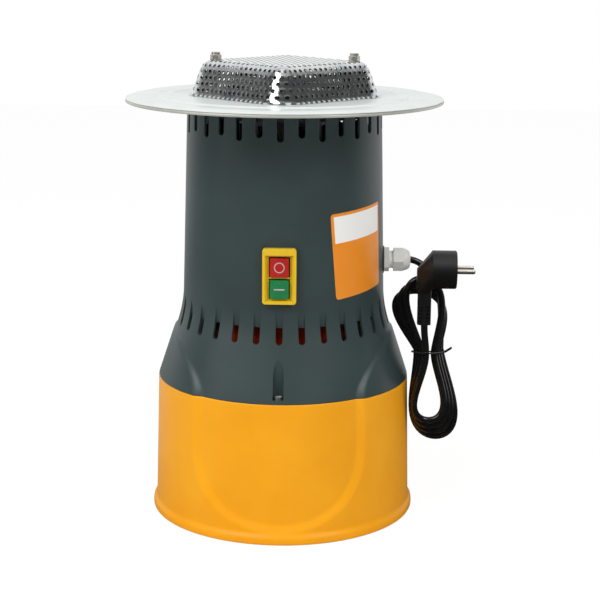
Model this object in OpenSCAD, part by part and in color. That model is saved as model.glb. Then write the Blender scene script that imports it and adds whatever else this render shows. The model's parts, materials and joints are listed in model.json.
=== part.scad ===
// Electric grain crusher head, standing on its hopper rim as in the photo.
// Millimetres, +Z up, front is -Y, origin at the centre of the standing rim.

/* [Hopper] */
// Height of the hopper, from the standing rim to the seam
hopper_h = 141; // [110:1:180]
// Radius of the raised sides at the seam
seam_r = 129.6; // [122:0.2:136]
// Radius of the rolled rim
rim_r = 136.5; // [132:0.5:142]
// How far the U panels lie below the raised sides
panel_depth = 4; // [2:0.5:5]

/* [Housing] */
// Height of the motor housing above the seam
housing_h = 286; // [276:1:310]
// Radius of the housing under the flange
housing_r = 98; // [96:0.5:102]
// Wall of the mouldings
wall = 2.6; // [2:0.1:3]
// Width of a vent slot
slot_w = 6.8; // [4:0.2:8]

/* [Flange and screen] */
// Radius of the flange
flange_r = 160; // [156:1:175]
// Height of the screen above the flange
screen_h = 35.5; // [32:0.5:44]
// Distance of each screen stud from the axis
stud_x = 69.5; // [68:0.5:72]

/* [Switch] */
// Width of the switch plate
switch_w = 33; // [31:0.5:38]
// Height of the switch plate
switch_h = 55; // [52:0.5:60]
// Side of a push button
button_w = 18.4; // [15:0.2:19]
// Travel of a push button
button_travel = 3; // [2:0.5:4]

/* [Feed] */
// Inner radius of the feed tube
feed_r = 18; // [14:0.5:18.5]
// Travel of the feed gate
gate_travel = 41; // [36:1:42]

/* [Drive] */
// Radius of the armature
armature_r = 26; // [22:0.5:26]
// Radius of the shaft at the drive bearing
shaft_r = 6; // [5:0.25:6.5]
// Tip radius of the blade
blade_r = 57; // [45:0.5:58]

/* [Cord] */
// Diameter of the mains cord
cord_d = 7; // [6:0.2:7.2]
// Diameter of the plug head
plug_d = 38.5; // [36:0.5:40]

/* [Hidden] */
$fn = 64;
gap = 0.3;
zs = hopper_h;
zt = zs + housing_h;
sheet = 1.5;
zf = zt + sheet;
top_wall = 4;
slot_n = 30;
panel_r = seam_r - panel_depth;

// Housing outline: a skirt line and a body line, blended over 2 * blend
body_k = 0.0262;
skirt_k = 0.291;
blend = 16;
z_meet = (panel_r - housing_r + skirt_k * zs - body_k * zt) / (skirt_k - body_k);
function body_r(z) = housing_r + body_k * (zt - z);
function shell_r(z) = z < z_meet - blend ? panel_r - skirt_k * (z - zs)
    : z > z_meet + blend ? body_r(z)
    : body_r(z) + (skirt_k - body_k) * pow(z_meet + blend - z, 2) / (4 * blend);
function saddle_r(z) = seam_r - 0.329 * (z - zs);
shell_z = concat([zs], [for (i = [0:8]) z_meet - blend + i * blend / 4], [zt]);
groove_r = body_r(z_meet) + 0.1;

// Hopper outline
hopper_k = 0.026;
function side_r(z) = seam_r + hopper_k * (zs - z);
function flat_r(z) = side_r(z) - panel_depth;

// Edges of the U panels and of the saddles, as angles and heights
u_in = 37.2;
u_out = 41;
u_mid = 95;
u_low_in = 18.6;
u_low_out = 11.5;
arch_in = 53;
arch_out = 48.5;
function supe(q, n) = pow(max(0, 1 - pow(abs(q), n)), 1 / n);

// Feed and gate levels
feed_y = 70;
tube_t = 2;
tube_r = feed_r + tube_t;
funnel_z = 98;
funnel_r = panel_r - wall - 1;
neck_z = 205;
guide_z = 226;
gate_z = guide_z + 8;
gate_t = 2;
gate_w = 2 * feed_r + 8;
guide_h = 17;

// Motor levels, from the rear bracket up to the blade
z_rear = 246;
z_stator = 290;
stator_h = 70;
stator_r = 46;
z_cup = z_stator + stator_h;
z_plate = zt - top_wall - 6;
bore_r = armature_r + 1;
brush_z = z_rear + 25;
comm_r = 18;
rear_r = shaft_r - 1;
bearing_w = 10;
bearing_r = 16;
z_bearing = z_plate - 12;
blade_z = zf + 11.5;
bolt_at = 36;
screw_at = stator_r + 16;

// Switch levels
switch_z = zs + 124;
pad_y = shell_r(switch_z - switch_h / 2);
switch_in = 6.4;
bezel_t = 6;
button_z = button_w / 2 + 1.6;
button_drop = 2;
button_out = pad_y + 5.4;

// Gland and cord levels
gland_z = zs + 121;
gland_x = shell_r(gland_z) + 0.8;
gland_af = 22;
nut_af = gland_af + 2;
thread_r = 9.3;
cord_x0 = gland_x + 27;

// A ring between two radii
module ring(r1, r2, h) {
    difference() {
        cylinder(r = r2, h = h);
        translate([0, 0, -1]) cylinder(r = r1, h = h + 2);
    }
}

// A hexagonal prism across flats, with a bore
module hex_nut(af, h, bore) {
    difference() {
        cylinder(d = af / cos(30), h = h, $fn = 6);
        translate([0, 0, -1]) cylinder(r = bore, h = h + 2);
    }
}

// A plate with rounded corners, w by h, standing on z = 0
module round_plate(w, h, r, t) {
    linear_extrude(t) {
        square([w - 2 * r, h], center = true);
        square([w, h - 2 * r], center = true);
        for (x = [-1, 1], y = [-1, 1]) translate([x * (w / 2 - r), y * (h / 2 - r)]) circle(r);
    }
}

// A solid whose side wall runs straight between matching closed rings of points
module ruled(rings) {
    n = len(rings[0]);
    m = len(rings);
    sides = [for (k = [0:m - 2], i = [0:n - 1]) each
        let (j = (i + 1) % n) [[k * n + j, k * n + i, (k + 1) * n + j],
            [(k + 1) * n + j, k * n + i, (k + 1) * n + i]]];
    polyhedron(points = [for (r = rings) each r], faces = concat(sides,
        [[for (i = [0:n - 1]) i]], [[for (i = [n - 1:-1:0]) (m - 1) * n + i]]));
}

// U panel plug at the front: its wall is the bevel between panel and raised side
u_steps = 32;
function u_edge(i, half, low) = let (a = -90 + 180 * i / u_steps, q = sin(a))
    [half * q, u_mid - (u_mid - low) * supe(q, 2.2)];
function u_at(i, f, grow) = let (p = u_edge(i, u_in, u_low_in), q = u_edge(i, u_out, u_low_out),
    e = p + f * (q - p)) [e[0] * (1 + grow / 84), e[1] - grow * (u_mid - e[1]) / 80];
function u_loop(f, grow) = concat([[u_at(0, f, grow)[0], zs + 20]],
    [for (i = [0:u_steps]) u_at(i, f, grow)], [[u_at(u_steps, f, grow)[0], zs + 20]]);
function u_ring(f, grow) = [for (p = u_loop(f, grow)) let (r = flat_r(p[1]) + f * panel_depth)
    [r * sin(p[0]), -r * cos(p[0]), p[1]]];
module u_plug(grow = 0) {
    core = [for (p = u_ring(-1, grow)) [p[0] * 0.6, -40, p[2] * 0.6 + zs * 0.4]];
    far = [for (p = u_ring(1.4, grow)) [p[0] * 1.5, -200, p[2]]];
    ruled([core, u_ring(-1, grow), u_ring(1.4, grow), far]);
}

// Saddle plug at the +X side: its wall is the bevel round the raised side
s_steps = 36;
function s_edge(i, half, h) = let (a = 90 - 180 * i / s_steps, q = sin(a))
    [half * q, zs + h * supe(q, 1.7)];
function s_at(i, f) = let (p = s_edge(i, 90 - u_in, arch_in), q = s_edge(i, 90 - u_out, arch_out))
    p + f * (q - p);
function s_ring(f, grow) = [for (p = concat([[s_at(0, f)[0], zs - 20]],
    [for (i = [0:s_steps]) s_at(i, f)], [[s_at(s_steps, f)[0], zs - 20]]))
    let (r = shell_r(max(p[1], zs)) + f * panel_depth, a = p[0] * (1 - grow / 110),
        z = p[1] - (p[1] > zs ? grow * (p[1] - zs) / arch_in : 0)) [r * cos(a), r * sin(a), z]];
module s_plug(grow = 0) {
    core = [for (p = s_ring(-1, grow)) [40, p[1] * 0.3, p[2] * 0.3 + zs * 0.7]];
    ruled([core, s_ring(-1, grow), s_ring(1.5, grow)]);
}

// Ring outside a hopper or housing outline, pushed in by t
module outside_flat(t) {
    rotate_extrude($fn = 128) polygon([[flat_r(-5) - t, -5], [200, -5], [200, zs + 5],
        [flat_r(zs + 5) - t, zs + 5]]);
}
module inside_saddle(t) {
    rotate_extrude($fn = 128) polygon([[0, zs], [seam_r - t, zs],
        [saddle_r(zs + arch_in + 6) - t, zs + arch_in + 6], [0, zs + arch_in + 6]]);
}
module inside_shell(t) {
    rotate_extrude($fn = 128) polygon(concat([[0, zs]], [for (z = shell_z) [shell_r(z) - t, z]],
        [[0, zt]]));
}

boss_at = panel_r - 7;
pocket_r = 5.3;
ledge = 4;
spigot_r = panel_r - wall - 2.4;

module hopper() color("#F2A61C") difference() {
    union() {
        difference() {
            rotate_extrude($fn = 128) polygon([[0, 0], [rim_r - 1.5, 0], [rim_r, 1.5], [rim_r, 6],
                [rim_r - 1, 8.5], [side_r(12), 12], [seam_r, zs], [0, zs]]);
            for (a = [0, 180]) rotate(a) intersection() {
                u_plug();
                outside_flat(0);
            }
            difference() {
                translate([0, 0, -1]) rotate_extrude($fn = 128) polygon([[0, 0],
                    [side_r(0) - wall, 0], [seam_r - wall, zs + 2], [0, zs + 2]]);
                for (a = [0, 180]) rotate(a) intersection() {
                    u_plug(wall);
                    outside_flat(wall);
                }
            }
        }
        // Lap joint inside the skirt, ledge over the funnel rim, screw bosses
        difference() {
            translate([0, 0, zs - 8]) ring(spigot_r - 2.5, spigot_r, 14);
            for (y = [-1, 1]) translate([0, y * boss_at, zs]) cylinder(r = pocket_r + 3.4, h = 20);
        }
        difference() {
            translate([0, 0, zs - 8]) ring(spigot_r - 2.5, panel_r - 1, 4);
            for (a = [0, 180]) rotate(a) difference() {
                u_plug();
                translate([0, 0, -1]) cylinder(r = flat_r(zs) - 1, h = 300);
            }
        }
        translate([0, 0, funnel_z + 2.5]) ring(funnel_r - 7, flat_r(funnel_z) - 1, 3);
        for (y = [-1, 1]) translate([0, y * boss_at, zs - 24]) cylinder(r = pocket_r + 0.6, h = 24);
    }
    for (y = [-1, 1]) translate([0, y * boss_at, zs - 22]) cylinder(r = 2.2, h = 30);
}

// Oblique cone from the rim to the neck behind the motor
module cone_form(t, lift) {
    hull() {
        translate([0, 0, funnel_z + lift]) cylinder(r = funnel_r - 9 + t, h = 0.5, $fn = 48);
        translate([0, feed_y, neck_z + lift]) cylinder(r = feed_r + t, h = 0.5, $fn = 48);
    }
}
module funnel() color("#7A1B10") difference() {
    union() {
        cone_form(tube_t, 0.5);
        translate([0, 0, funnel_z]) cylinder(r = funnel_r, h = 2.5, $fn = 128);
        translate([0, feed_y, neck_z - 4]) cylinder(r = tube_r, h = guide_z - neck_z + 10);
    }
    cone_form(0, -0.3);
    translate([0, feed_y, neck_z - 4]) cylinder(r = feed_r, h = 60);
}

// Cone behind the lower vents, which turns the air up to the motor
air_z = zs + 41;
air_rim = shell_r(air_z + 2) - wall - 2 * gap;
air_in = stator_r + 12;
air_rise = 34;
module air_guide() color("#7A1B10") difference() {
    translate([0, 0, air_z]) rotate_extrude($fn = 128) polygon([[air_rim - 6, 0], [air_rim, 0],
        [air_rim, 2], [air_rim - 3, 2], [air_in, air_rise], [air_in, air_rise - 2.4]]);
    translate([0, feed_y, air_z - 1]) cylinder(r = tube_r + 6.5, h = air_rise + 2);
}

module gate_guide() color("#30383A") difference() {
    translate([-gate_w / 2 - 5, feed_y - tube_r - 4, guide_z])
        cube([gate_w + 10, 2 * tube_r + 6, guide_h]);
    translate([0, feed_y, guide_z - 1]) cylinder(r = feed_r, h = guide_h + 2);
    translate([0, feed_y, guide_z - 1]) cylinder(r = tube_r, h = 7);
    translate([0, feed_y, guide_z + 12]) cylinder(r = tube_r, h = 20);
    translate([-gate_w / 2 - 0.2, feed_y - feed_r - 3, gate_z - 0.2])
        cube([gate_w + 0.4, 90, gate_t + 0.4]);
}

module feed_gate() color("#B9BCBC") {
    translate([-gate_w / 2, feed_y - feed_r - 2.6, gate_z])
        cube([gate_w, feed_r + 2.6 + shell_r(gate_z) - feed_y + 14, gate_t]);
    translate([-gate_w / 2, shell_r(gate_z) + 12, gate_z]) cube([gate_w, 2, 12]);
}

module feed_tube() color("#30383A") translate([0, feed_y, guide_z + 12])
    ring(feed_r, tube_r, zt - guide_z - 12);

module motor_housing() color("#3D4A4A") difference() {
    union() {
        inside_shell(0);
        for (a = [0, 180]) rotate(a) intersection() {
            s_plug();
            inside_saddle(0);
        }
        translate([0, 0, gland_z]) rotate([0, 90, 0]) translate([0, 0, 80])
            cylinder(r = 14, h = gland_x - 80);
        translate([-switch_w / 2, -pad_y, switch_z - switch_h / 2]) cube([switch_w, 40, switch_h]);
    }
    difference() {
        translate([0, 0, -0.01]) inside_shell(wall);
        translate([0, 0, zt - top_wall]) cylinder(r = 150, h = 20);
        translate([0, 0, zt - 15]) ring(housing_r - wall - 5.5, housing_r - wall - 3, 15);
        for (y = [-1, 1]) translate([0, y * boss_at, zs]) cylinder(r = pocket_r + 3, h = 46);
        translate([0, 0, gland_z]) rotate([0, 90, 0]) translate([0, 0, gland_x - 5.2])
            cylinder(r = 15, h = 20);
        for (a = [45:90:315]) rotate(a) translate([screw_at, 0, zt - 16]) cylinder(r = 5, h = 16);
        translate([-switch_w / 2, -pad_y, switch_z - switch_h / 2]) cube([switch_w, 4.5, switch_h]);
    }
    // Lower vents: vertical grooves that break through where the skirt slopes out
    difference() {
        for (i = [0:slot_n - 1]) rotate(i * 360 / slot_n) translate([0, -130, z_meet - 16.8]) {
            translate([-slot_w / 2, 0, 0]) cube([slot_w, 40, 40]);
            rotate([-90, 0, 0]) cylinder(d = slot_w, h = 40);
        }
        translate([0, 0, z_meet]) cylinder(r = groove_r, h = 60);
        translate([0, 0, z_meet - 40]) cylinder(r1 = groove_r - 3, r2 = groove_r, h = 40);
    }
    // Upper vents: long and short in turn, running up to the top wall
    for (i = [0:slot_n - 1]) rotate(i * 360 / slot_n)
        translate([0, -130, zt - 30 + (i % 2) * 3.8]) {
            translate([-slot_w / 2, 0, 0]) cube([slot_w, 40, 30 - top_wall - 2 - (i % 2) * 3.8]);
            rotate([-90, 0, 0]) cylinder(d = slot_w, h = 40);
        }
    // Screw pockets over the seam
    for (y = [-1, 1]) translate([0, y * boss_at, zs]) {
        translate([0, 0, ledge]) cylinder(r = pocket_r, h = 60);
        translate([-pocket_r, y > 0 ? 0 : -30, ledge]) cube([2 * pocket_r, 30, 60]);
        translate([0, 0, -1]) cylinder(r = 2.6, h = 20);
    }
    // Top wall: bearing hub, feed tube, studs, flange screws
    translate([0, 0, zt - top_wall - 1]) cylinder(r = 14, h = 10);
    translate([0, feed_y, zt - 20]) cylinder(r = tube_r, h = 30);
    for (x = [-1, 1]) translate([x * stud_x, 0, zt - 20]) cylinder(r = 3, h = 30);
    for (a = [45:90:315]) rotate(a) translate([screw_at, 0, zt - 14]) cylinder(r = 2.2, h = 20);
    // Switch, gland and gate openings
    translate([(switch_in - switch_w) / 2 - 0.2, -pad_y - 1, switch_z + (switch_in - switch_h) / 2 - 0.2])
        cube([switch_w - switch_in + 0.4, 40, switch_h - switch_in + 0.4]);
    translate([0, 0, gland_z]) rotate([0, 90, 0]) cylinder(r = thread_r, h = 150);
    along_x(gland_x - 30) cylinder(d = nut_af / cos(30) + gap, h = 30 - 5.2);
    translate([-gate_w / 2 - 0.6, 88, gate_z - 0.6]) cube([gate_w + 1.2, 40, gate_t + 1.2]);
}

module housing_screws() color("#C9CCCC") for (y = [-1, 1]) translate([0, y * boss_at, zs]) {
    translate([0, 0, ledge]) difference() {
        cylinder(r = 4.2, h = 3);
        for (a = [0, 90]) rotate(a) translate([-3, -0.5, 1.6]) cube([6, 1, 2]);
    }
    translate([0, 0, -20]) cylinder(r = 2.2, h = 20 + ledge);
}

// Pressed rings, from the seat of the screen out to the turned-down rim
ring_1 = flange_r - 48;
ring_2 = flange_r - 36.5;
ring_3 = flange_r - 30;
ring_4 = flange_r - 9;
press = 1.3;
flange_line = [[13.5, 0], [ring_1, 0], [ring_1 + 2.5, press], [ring_2, press],
    [ring_2 + 2, 0], [ring_3, 0], [ring_3 + 1.2, 0.7], [ring_4, 0.7]];
module flange_plate() color("#DDE0DE") difference() {
    translate([0, 0, zt]) rotate_extrude($fn = 128) polygon(concat(flange_line,
        [[flange_r - 1.5, -1], [flange_r - 1.5, -3.6], [flange_r, -3.6], [flange_r, 0.3]],
        [for (i = [len(flange_line) - 1:-1:0]) flange_line[i] + [0, sheet]]));
    translate([0, feed_y, zt - 1]) cylinder(r = feed_r, h = 4);
    for (x = [-1, 1]) translate([x * stud_x, 0, zt - 1]) cylinder(r = 3, h = 4);
    for (a = [45:90:315]) rotate(a) translate([screw_at, 0, zt - 1]) cylinder(r = 2.2, h = 4);
}

module flange_screws() color("#C9CCCC") for (a = [45:90:315]) rotate(a) translate([screw_at, 0, 0]) {
    translate([0, 0, zf]) difference() {
        cylinder(r = 4.2, h = 3);
        for (b = [0, 90]) rotate(b) translate([-3, -0.5, 1.6]) cube([6, 1, 2]);
    }
    translate([0, 0, zt - 14]) cylinder(r = 2.2, h = 14 + sheet);
}

// Screen: rounded square with its corners on the axes, drawn in as it rises
screen_f = 74;
screen_c = 24;
mesh_t = 1.2;
skin = 0.01;
screen_levels = [[0, 0], [9.6, 26.7], [12, 30.5], [14.9, 33.2], [18, 34.8], [21, 35.5]];
module screen_form(t) {
    hull() for (l = screen_levels, x = [-1, 1], y = [-1, 1])
        translate([x * (screen_f - screen_c), y * (screen_f - screen_c),
            (l[1] - (l[1] > 0 ? t : 0.5 * t)) * screen_h / 35.5])
            cylinder(r = max(screen_c - l[0] - t, 1), h = skin, $fn = 32);
}
hole_d = 4;
hole_p = 10;
module screen() color("#D3D5D2") translate([0, 0, zf]) rotate(45) difference() {
    union() {
        screen_form(0);
        round_plate(2 * screen_f + 7, 2 * screen_f + 7, screen_c + 2, mesh_t);
    }
    difference() {
        screen_form(mesh_t);
        translate([0, 0, -5]) cylinder(r = 150, h = 4.9);
    }
    translate([0, 0, screen_h - 6]) linear_extrude(10)
        for (i = [-4:4], j = [-4:4]) translate([i, j] * hole_p) circle(d = hole_d, $fn = 24);
    for (a = [0:90:270]) rotate(a) for (i = [-4:4], j = [0:2])
        translate([(i + (j % 2) / 2) * hole_p * 1.1, 40, 7 + j * 8 * screen_h / 35.5])
            rotate([-90, 0, 0]) cylinder(d = hole_d, h = 60, $fn = 24);
    for (s = [-1, 1]) translate([s, -s, 0] * stud_x / sqrt(2)) cylinder(r = 3, h = 60);
}

module screen_studs() color("#C9CCCC") for (x = [-1, 1])
    translate([x * stud_x, 0, zt - 18]) cylinder(r = 3, h = 18 + sheet + screen_h + 7);

module stud_nuts() color("#B9BCBC") for (x = [-1, 1])
    translate([x * stud_x, 0, z_plate - 5]) hex_nut(10, 5, 3);

module clamp_nuts() color("#B9BCBC") for (x = [-1, 1])
    translate([x * stud_x, 0, zf]) hex_nut(10, 5, 3);

module lock_nuts() color("#C9CCCC") for (x = [-1, 1]) translate([x * stud_x, 0, zf + screen_h + skin]) {
    hex_nut(10, 5, 3);
    translate([0, 0, 5]) ring(3, 4.6, 2.6);
}

module switch_bezel() color("#D9B320") translate([0, -pad_y, switch_z]) rotate([90, 0, 0])
    difference() {
        round_plate(switch_w, switch_h, 3, bezel_t);
        hull() {
            translate([2.5 - switch_w / 2, 2.2 - switch_h / 2, bezel_t])
                cube([switch_w - 5, switch_h - 9, 0.1]);
            translate([5.5 - switch_w / 2, 4 - switch_h / 2, 2.2])
                cube([switch_w - 11, switch_h - 10.8, 0.1]);
        }
        for (s = [-1, 1]) translate([0, s * button_z - button_drop, 0])
            cube([button_w + 2, button_w + 1.6, 20], center = true);
    }

module switch_body() color("#202323") translate([0, 0, switch_z]) difference() {
    translate([(switch_in - switch_w) / 2, -pad_y, (switch_in - switch_h) / 2])
        cube([switch_w - switch_in, 30, switch_h - switch_in]);
    for (s = [-1, 1]) translate([-button_w / 2 - 2.3, -pad_y - 1,
        s * button_z - button_drop - button_w / 2 - 1])
        cube([button_w + 4.6, button_travel + 4, button_w + 2]);
}

// A button: cap, and a flange that holds it behind the bezel
module push_button(s) {
    translate([0, 0, switch_z + s * button_z - button_drop]) {
        translate([0, -pad_y + 2, 0]) rotate([90, 0, 0])
            round_plate(button_w, button_w - 0.2, 1.2, button_out - pad_y + 2);
        translate([-button_w / 2 - 2, -pad_y + 0.3, -button_w / 2 - 0.5])
            cube([button_w + 4, 1.7, button_w + 1]);
    }
}
module stop_button() color("#B91E1E") push_button(1);
module start_button() color("#257C49") push_button(-1);

// Gland, along +X
module along_x(x) {
    translate([x, 0, gland_z]) rotate([0, 90, 0]) children();
}
module gland_body() color("#BEBEB8") difference() {
    union() {
        along_x(gland_x - 14) cylinder(r = thread_r, h = 15);
        along_x(gland_x) cylinder(d = gland_af / cos(30), h = 5.2, $fn = 6);
        along_x(gland_x) cylinder(r = thread_r - 0.4, h = 13);
    }
    along_x(gland_x - 20) cylinder(r = cord_d / 2 + 2.5, h = 60);
}
module gland_locknut() color("#BEBEB8") along_x(gland_x - 10.2) hex_nut(nut_af, 5, thread_r);
module gland_cap() color("#BEBEB8") difference() {
    along_x(gland_x + 9.5) union() {
        cylinder(d = gland_af / cos(30), h = 11.5, $fn = 6);
        rotate_extrude() polygon(concat([[0, 0]], [for (a = [0:15:75])
            [5.7 + 5.3 * cos(a), 11.5 + 6 * sin(a)]], [[5.7, 17.5], [0, 17.5]]));
    }
    along_x(gland_x) cylinder(r = thread_r - 0.4, h = 13);
    along_x(gland_x) cylinder(r = cord_d / 2 + 2.5, h = 22);
    along_x(gland_x) cylinder(r = cord_d / 2, h = 40);
}
module gland_seal() color("#262626") along_x(gland_x + 8) ring(cord_d / 2, cord_d / 2 + 2.5, 14);

// Cord: the lead from the gland, a hank of loops tied at the waist, the tail to the plug
waist = [150.5, 169];
waist_w = 13;
loop_n = 3.5;
lay = cord_d + 0.5;
lead_route = [[cord_x0 - 20, 0, gland_z], [cord_x0 - 8, 0, gland_z], [cord_x0, 0, gland_z],
    [137, 0, 260], [144, 0, 255.5], [150.5, 0, 248.5], [156, 0, 239.5], [160, 0, 229],
    [162.5, 0, 217], [163.5, 0, 204], [163.5, 0, 187], [163.5, 0, 169]];
tail_y = -40;
plug_at = [144, -44, 205];
tail_route = [[146.6, tail_y, 169], [146.4, -40.4, 178], [145.4, -42, 187], [144.4, -43.6, 196],
    plug_at];
function smooth(t) = let (q = min(1, max(0, t))) q * q * (3 - 2 * q);
// One turn a loop: down the right side, round the bottom, up the left side, over the top
function hank_at(u) = let (k = floor(u), a = 360 * (u - k), s = sin(a), low = s > 0,
    reach = low ? 94 - 8 * k : 62 + 8 * k,
    wide = waist_w - 2.6 * u + (low ? (32 - k) * pow(s, 1.5) : (36 - 3 * k) * pow(-s, 1.2)),
    lean = (low ? 0.105 - 0.03 * k : 0.23 - 0.06 * k) * reach * s,
    end = u > 3.25 ? (-lay * 4 - tail_y) * smooth((u - 3.25) / 0.25) : 0)
    [waist[0] + wide * cos(a) + lean, -lay * (k + smooth(a / 80)) - end, waist[1] - reach * s];
hank_rings = 28;
hank_line = [for (i = [0:hank_rings * loop_n]) hank_at(min(i / hank_rings, loop_n - 0.00001))];
function unit(v) = v / norm(v);
function curve(p, n) = concat([for (i = [0:len(p) - 2], j = [0:n - 1])
    let (t = j / n, a = p[max(i - 1, 0)], b = p[i], c = p[i + 1], d = p[min(i + 2, len(p) - 1)])
    0.5 * (2 * b + (c - a) * t + (2 * a - 5 * b + 4 * c - d) * t * t
        + (3 * b - a - 3 * c + d) * t * t * t)], [p[len(p) - 1]]);
lead_line = curve(lead_route, 4);
tail_line = curve(tail_route, 4);
module tube(p, d, sides, t0, t1) {
    n = len(p);
    dirs = [for (i = [0:n - 1]) i == 0 ? t0 : i == n - 1 ? t1 : unit(p[i + 1] - p[i - 1])];
    ruled([for (i = [0:n - 1]) let (t = dirs[i], e = unit(cross([0, 1, 0], t)), f = cross(t, e))
        [for (j = [0:sides - 1]) let (a = 360 * j / sides) p[i] + d / 2 * (cos(a) * e + sin(a) * f)]]);
}
function run(p) = [for (i = [1:len(p) - 1]) norm(p[i] - p[i - 1])] * [for (i = [1:len(p) - 1]) 1];
hank_gap = min([for (i = [0:len(hank_line) - 1], j = [i + 6:1:len(hank_line) - 1])
    norm(hank_line[i] - hank_line[j])]) - cord_d;
echo(hank_gap_mm = hank_gap, cord_length_mm = run(lead_line) + run(hank_line) + run(tail_line));

module cord_lead() color("#1E1E1E") tube(lead_line, cord_d, 10, [1, 0, 0], [0, 0, -1]);
module cord_hank() color("#1E1E1E") tube(hank_line, cord_d, 8, [0, 0, -1], [0, 0, 1]);
module cord_tail() color("#1E1E1E") tube(tail_line, cord_d, 10, [0, 0, 1], [0, 0, 1]);

tie_w = 2 * waist_w + cord_d + 1;
tie_y1 = cord_d / 2 + 0.5;
tie_d = tie_y1 - tail_y + cord_d / 2 + 0.5;
module cord_tie() color("#161616") {
    translate([waist[0], tie_y1 - tie_d / 2, waist[1] - 1]) difference() {
        round_plate(tie_w + 3, tie_d + 3, 4.5, 2);
        translate([0, 0, -1]) round_plate(tie_w, tie_d, 3, 4);
    }
    translate([waist[0] + tie_w / 2 + 0.8, tie_y1 - tie_d / 2 - 8, waist[1]]) rotate([0, 50, 0]) {
        cylinder(d = 2, h = 7);
        translate([0, 0, 7]) sphere(d = 3, $fn = 24);
    }
}

head_x = 150.5;
head_z = 261;
head_l = 23.5;
pin_gap = 19;
module plug_body() color("#1B1B1B") translate([0, plug_at[1], 0]) difference() {
    union() {
        translate([head_x, 0, head_z]) rotate([0, 90, 0]) {
            cylinder(d = plug_d, h = head_l);
            translate([0, 0, head_l - 1]) cylinder(d = plug_d - 1.5, h = 1.8);
        }
        hull() {
            translate([head_x + 0.2, 0, head_z]) rotate([0, 90, 0]) cylinder(d = plug_d, h = 1, $fn = 32);
            translate([plug_at[0] - 1.5, 0, head_z - 22])
                round_plate(14, 17, 4, 22, $fn = 32);
        }
        translate([plug_at[0] - 0.5, 0, plug_at[2]]) round_plate(13.6, 15, 4, head_z - plug_at[2] - 10);
    }
    for (i = [0:4], y = [-1, 1], x = [-1, 1])
        translate([plug_at[0] - 0.5 + x * 4.2, y * 7.5, plug_at[2] + 4 + i * 3.6])
            cube([4.4, 4, 1.6], center = true);
    for (y = [-1, 1]) translate([head_x + 8, y * pin_gap / 2, head_z]) rotate([0, 90, 0])
        cylinder(r = 2.4, h = 30);
}
module plug_pins() color("#D8D6D2") for (y = [-1, 1])
    translate([head_x + 8, plug_at[1] + y * pin_gap / 2, head_z]) rotate([0, 90, 0]) {
        cylinder(r = 2.4, h = head_l - 8 + 17.5);
        translate([0, 0, head_l - 8 + 17.5]) cylinder(r1 = 2.4, r2 = 1.6, h = 1.5);
    }

// Motor
module wedge(r, a, h) {
    linear_extrude(h) polygon([[0, 0], [r * cos(a), -r * sin(a)], [r * 1.5, 0], [r * cos(a), r * sin(a)]]);
}
module stator_core() color("#6E7476") translate([0, 0, z_stator]) difference() {
    cylinder(r = stator_r, h = stator_h);
    translate([0, 0, -1]) cylinder(r = bore_r, h = stator_h + 2);
    for (a = [90, 270]) rotate(a) intersection() {
        translate([0, 0, -1]) cylinder(r = stator_r - 6, h = stator_h + 2);
        translate([0, 0, -1]) wedge(80, 38, stator_h + 2);
    }
}
coil_end = 12;
// A saddle coil round each pole: an arc of winding with the pole's window cut out of it
module field_coils() color("#9A4E22") for (a = [0, 180]) rotate(a) difference() {
    translate([0, 0, z_stator - coil_end]) rotate(-75) rotate_extrude(angle = 150)
        translate([bore_r + 2, 0]) square([stator_r - bore_r - 8.5, stator_h + 2 * coil_end]);
    translate([0, 0, z_stator]) rotate(-57) rotate_extrude(angle = 114)
        translate([bore_r - 2, 0]) square([stator_r - bore_r, stator_h]);
}

module bolt_ears(h) {
    for (s = [-1, 1]) translate([s * bolt_at, s * bolt_at, 0]) cylinder(r = 6, h = h);
}
module drive_bracket() color("#AEB2B2") difference() {
    union() {
        translate([0, 0, z_cup]) ring(stator_r - 3, stator_r, z_plate - z_cup + 1);
        translate([0, 0, z_plate]) cylinder(r = stator_r, h = 6);
        translate([0, 0, z_bearing - 3]) cylinder(r = bearing_r + 4, h = z_plate - z_bearing + 4);
        for (x = [-1, 1]) {
            translate([x * stud_x, 0, z_plate]) cylinder(r = 9, h = 6);
            translate([x > 0 ? 40 : -stud_x, -9, z_plate]) cube([stud_x - 40, 18, 6]);
        }
        translate([0, 0, z_cup]) bolt_ears(8);
    }
    translate([0, 0, z_bearing]) cylinder(r = bearing_r, h = bearing_w);
    translate([0, 0, z_bearing - 10]) cylinder(r = bearing_r - 3, h = 12);
    translate([0, 0, z_bearing]) cylinder(r = shaft_r + 1.5, h = 60);
    for (x = [-1, 1]) translate([x * stud_x, 0, z_plate - 1]) cylinder(r = 3, h = 10);
    for (i = [0:7]) rotate(i * 45 + 22.5) translate([30, -9, z_cup + 14]) cube([30, 18, 28]);
    for (s = [-1, 1]) translate([s * bolt_at, s * bolt_at, z_cup - 1]) cylinder(r = 2.5, h = 30);
}
module rear_bracket() color("#AEB2B2") difference() {
    union() {
        translate([0, 0, z_rear]) cylinder(r = stator_r, h = 4);
        translate([0, 0, z_rear]) cylinder(r = 18, h = 14);
        translate([0, 0, z_rear]) ring(stator_r - 3, stator_r, z_stator - z_rear);
        translate([0, 0, z_stator - 8]) bolt_ears(8);
    }
    translate([0, 0, z_rear + 4]) cylinder(r = bearing_r - 1, h = 30);
    translate([0, 0, z_rear - 1]) cylinder(r = rear_r + 2, h = 30);
    for (i = [0:7]) rotate(i * 45 + 22.5) translate([32, -8, z_rear + 8]) cube([30, 16, 24]);
    for (s = [-1, 1]) {
        translate([s * bolt_at, s * bolt_at, z_rear]) cylinder(r = 2.5, h = 60);
        translate([s > 0 ? 22 : -52, -7, brush_z - 6]) cube([30, 14, 12]);
    }
    for (a = [0:60:300]) rotate(a) translate([31, 0, z_rear - 1]) cylinder(r = 7, h = 6);
}
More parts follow.
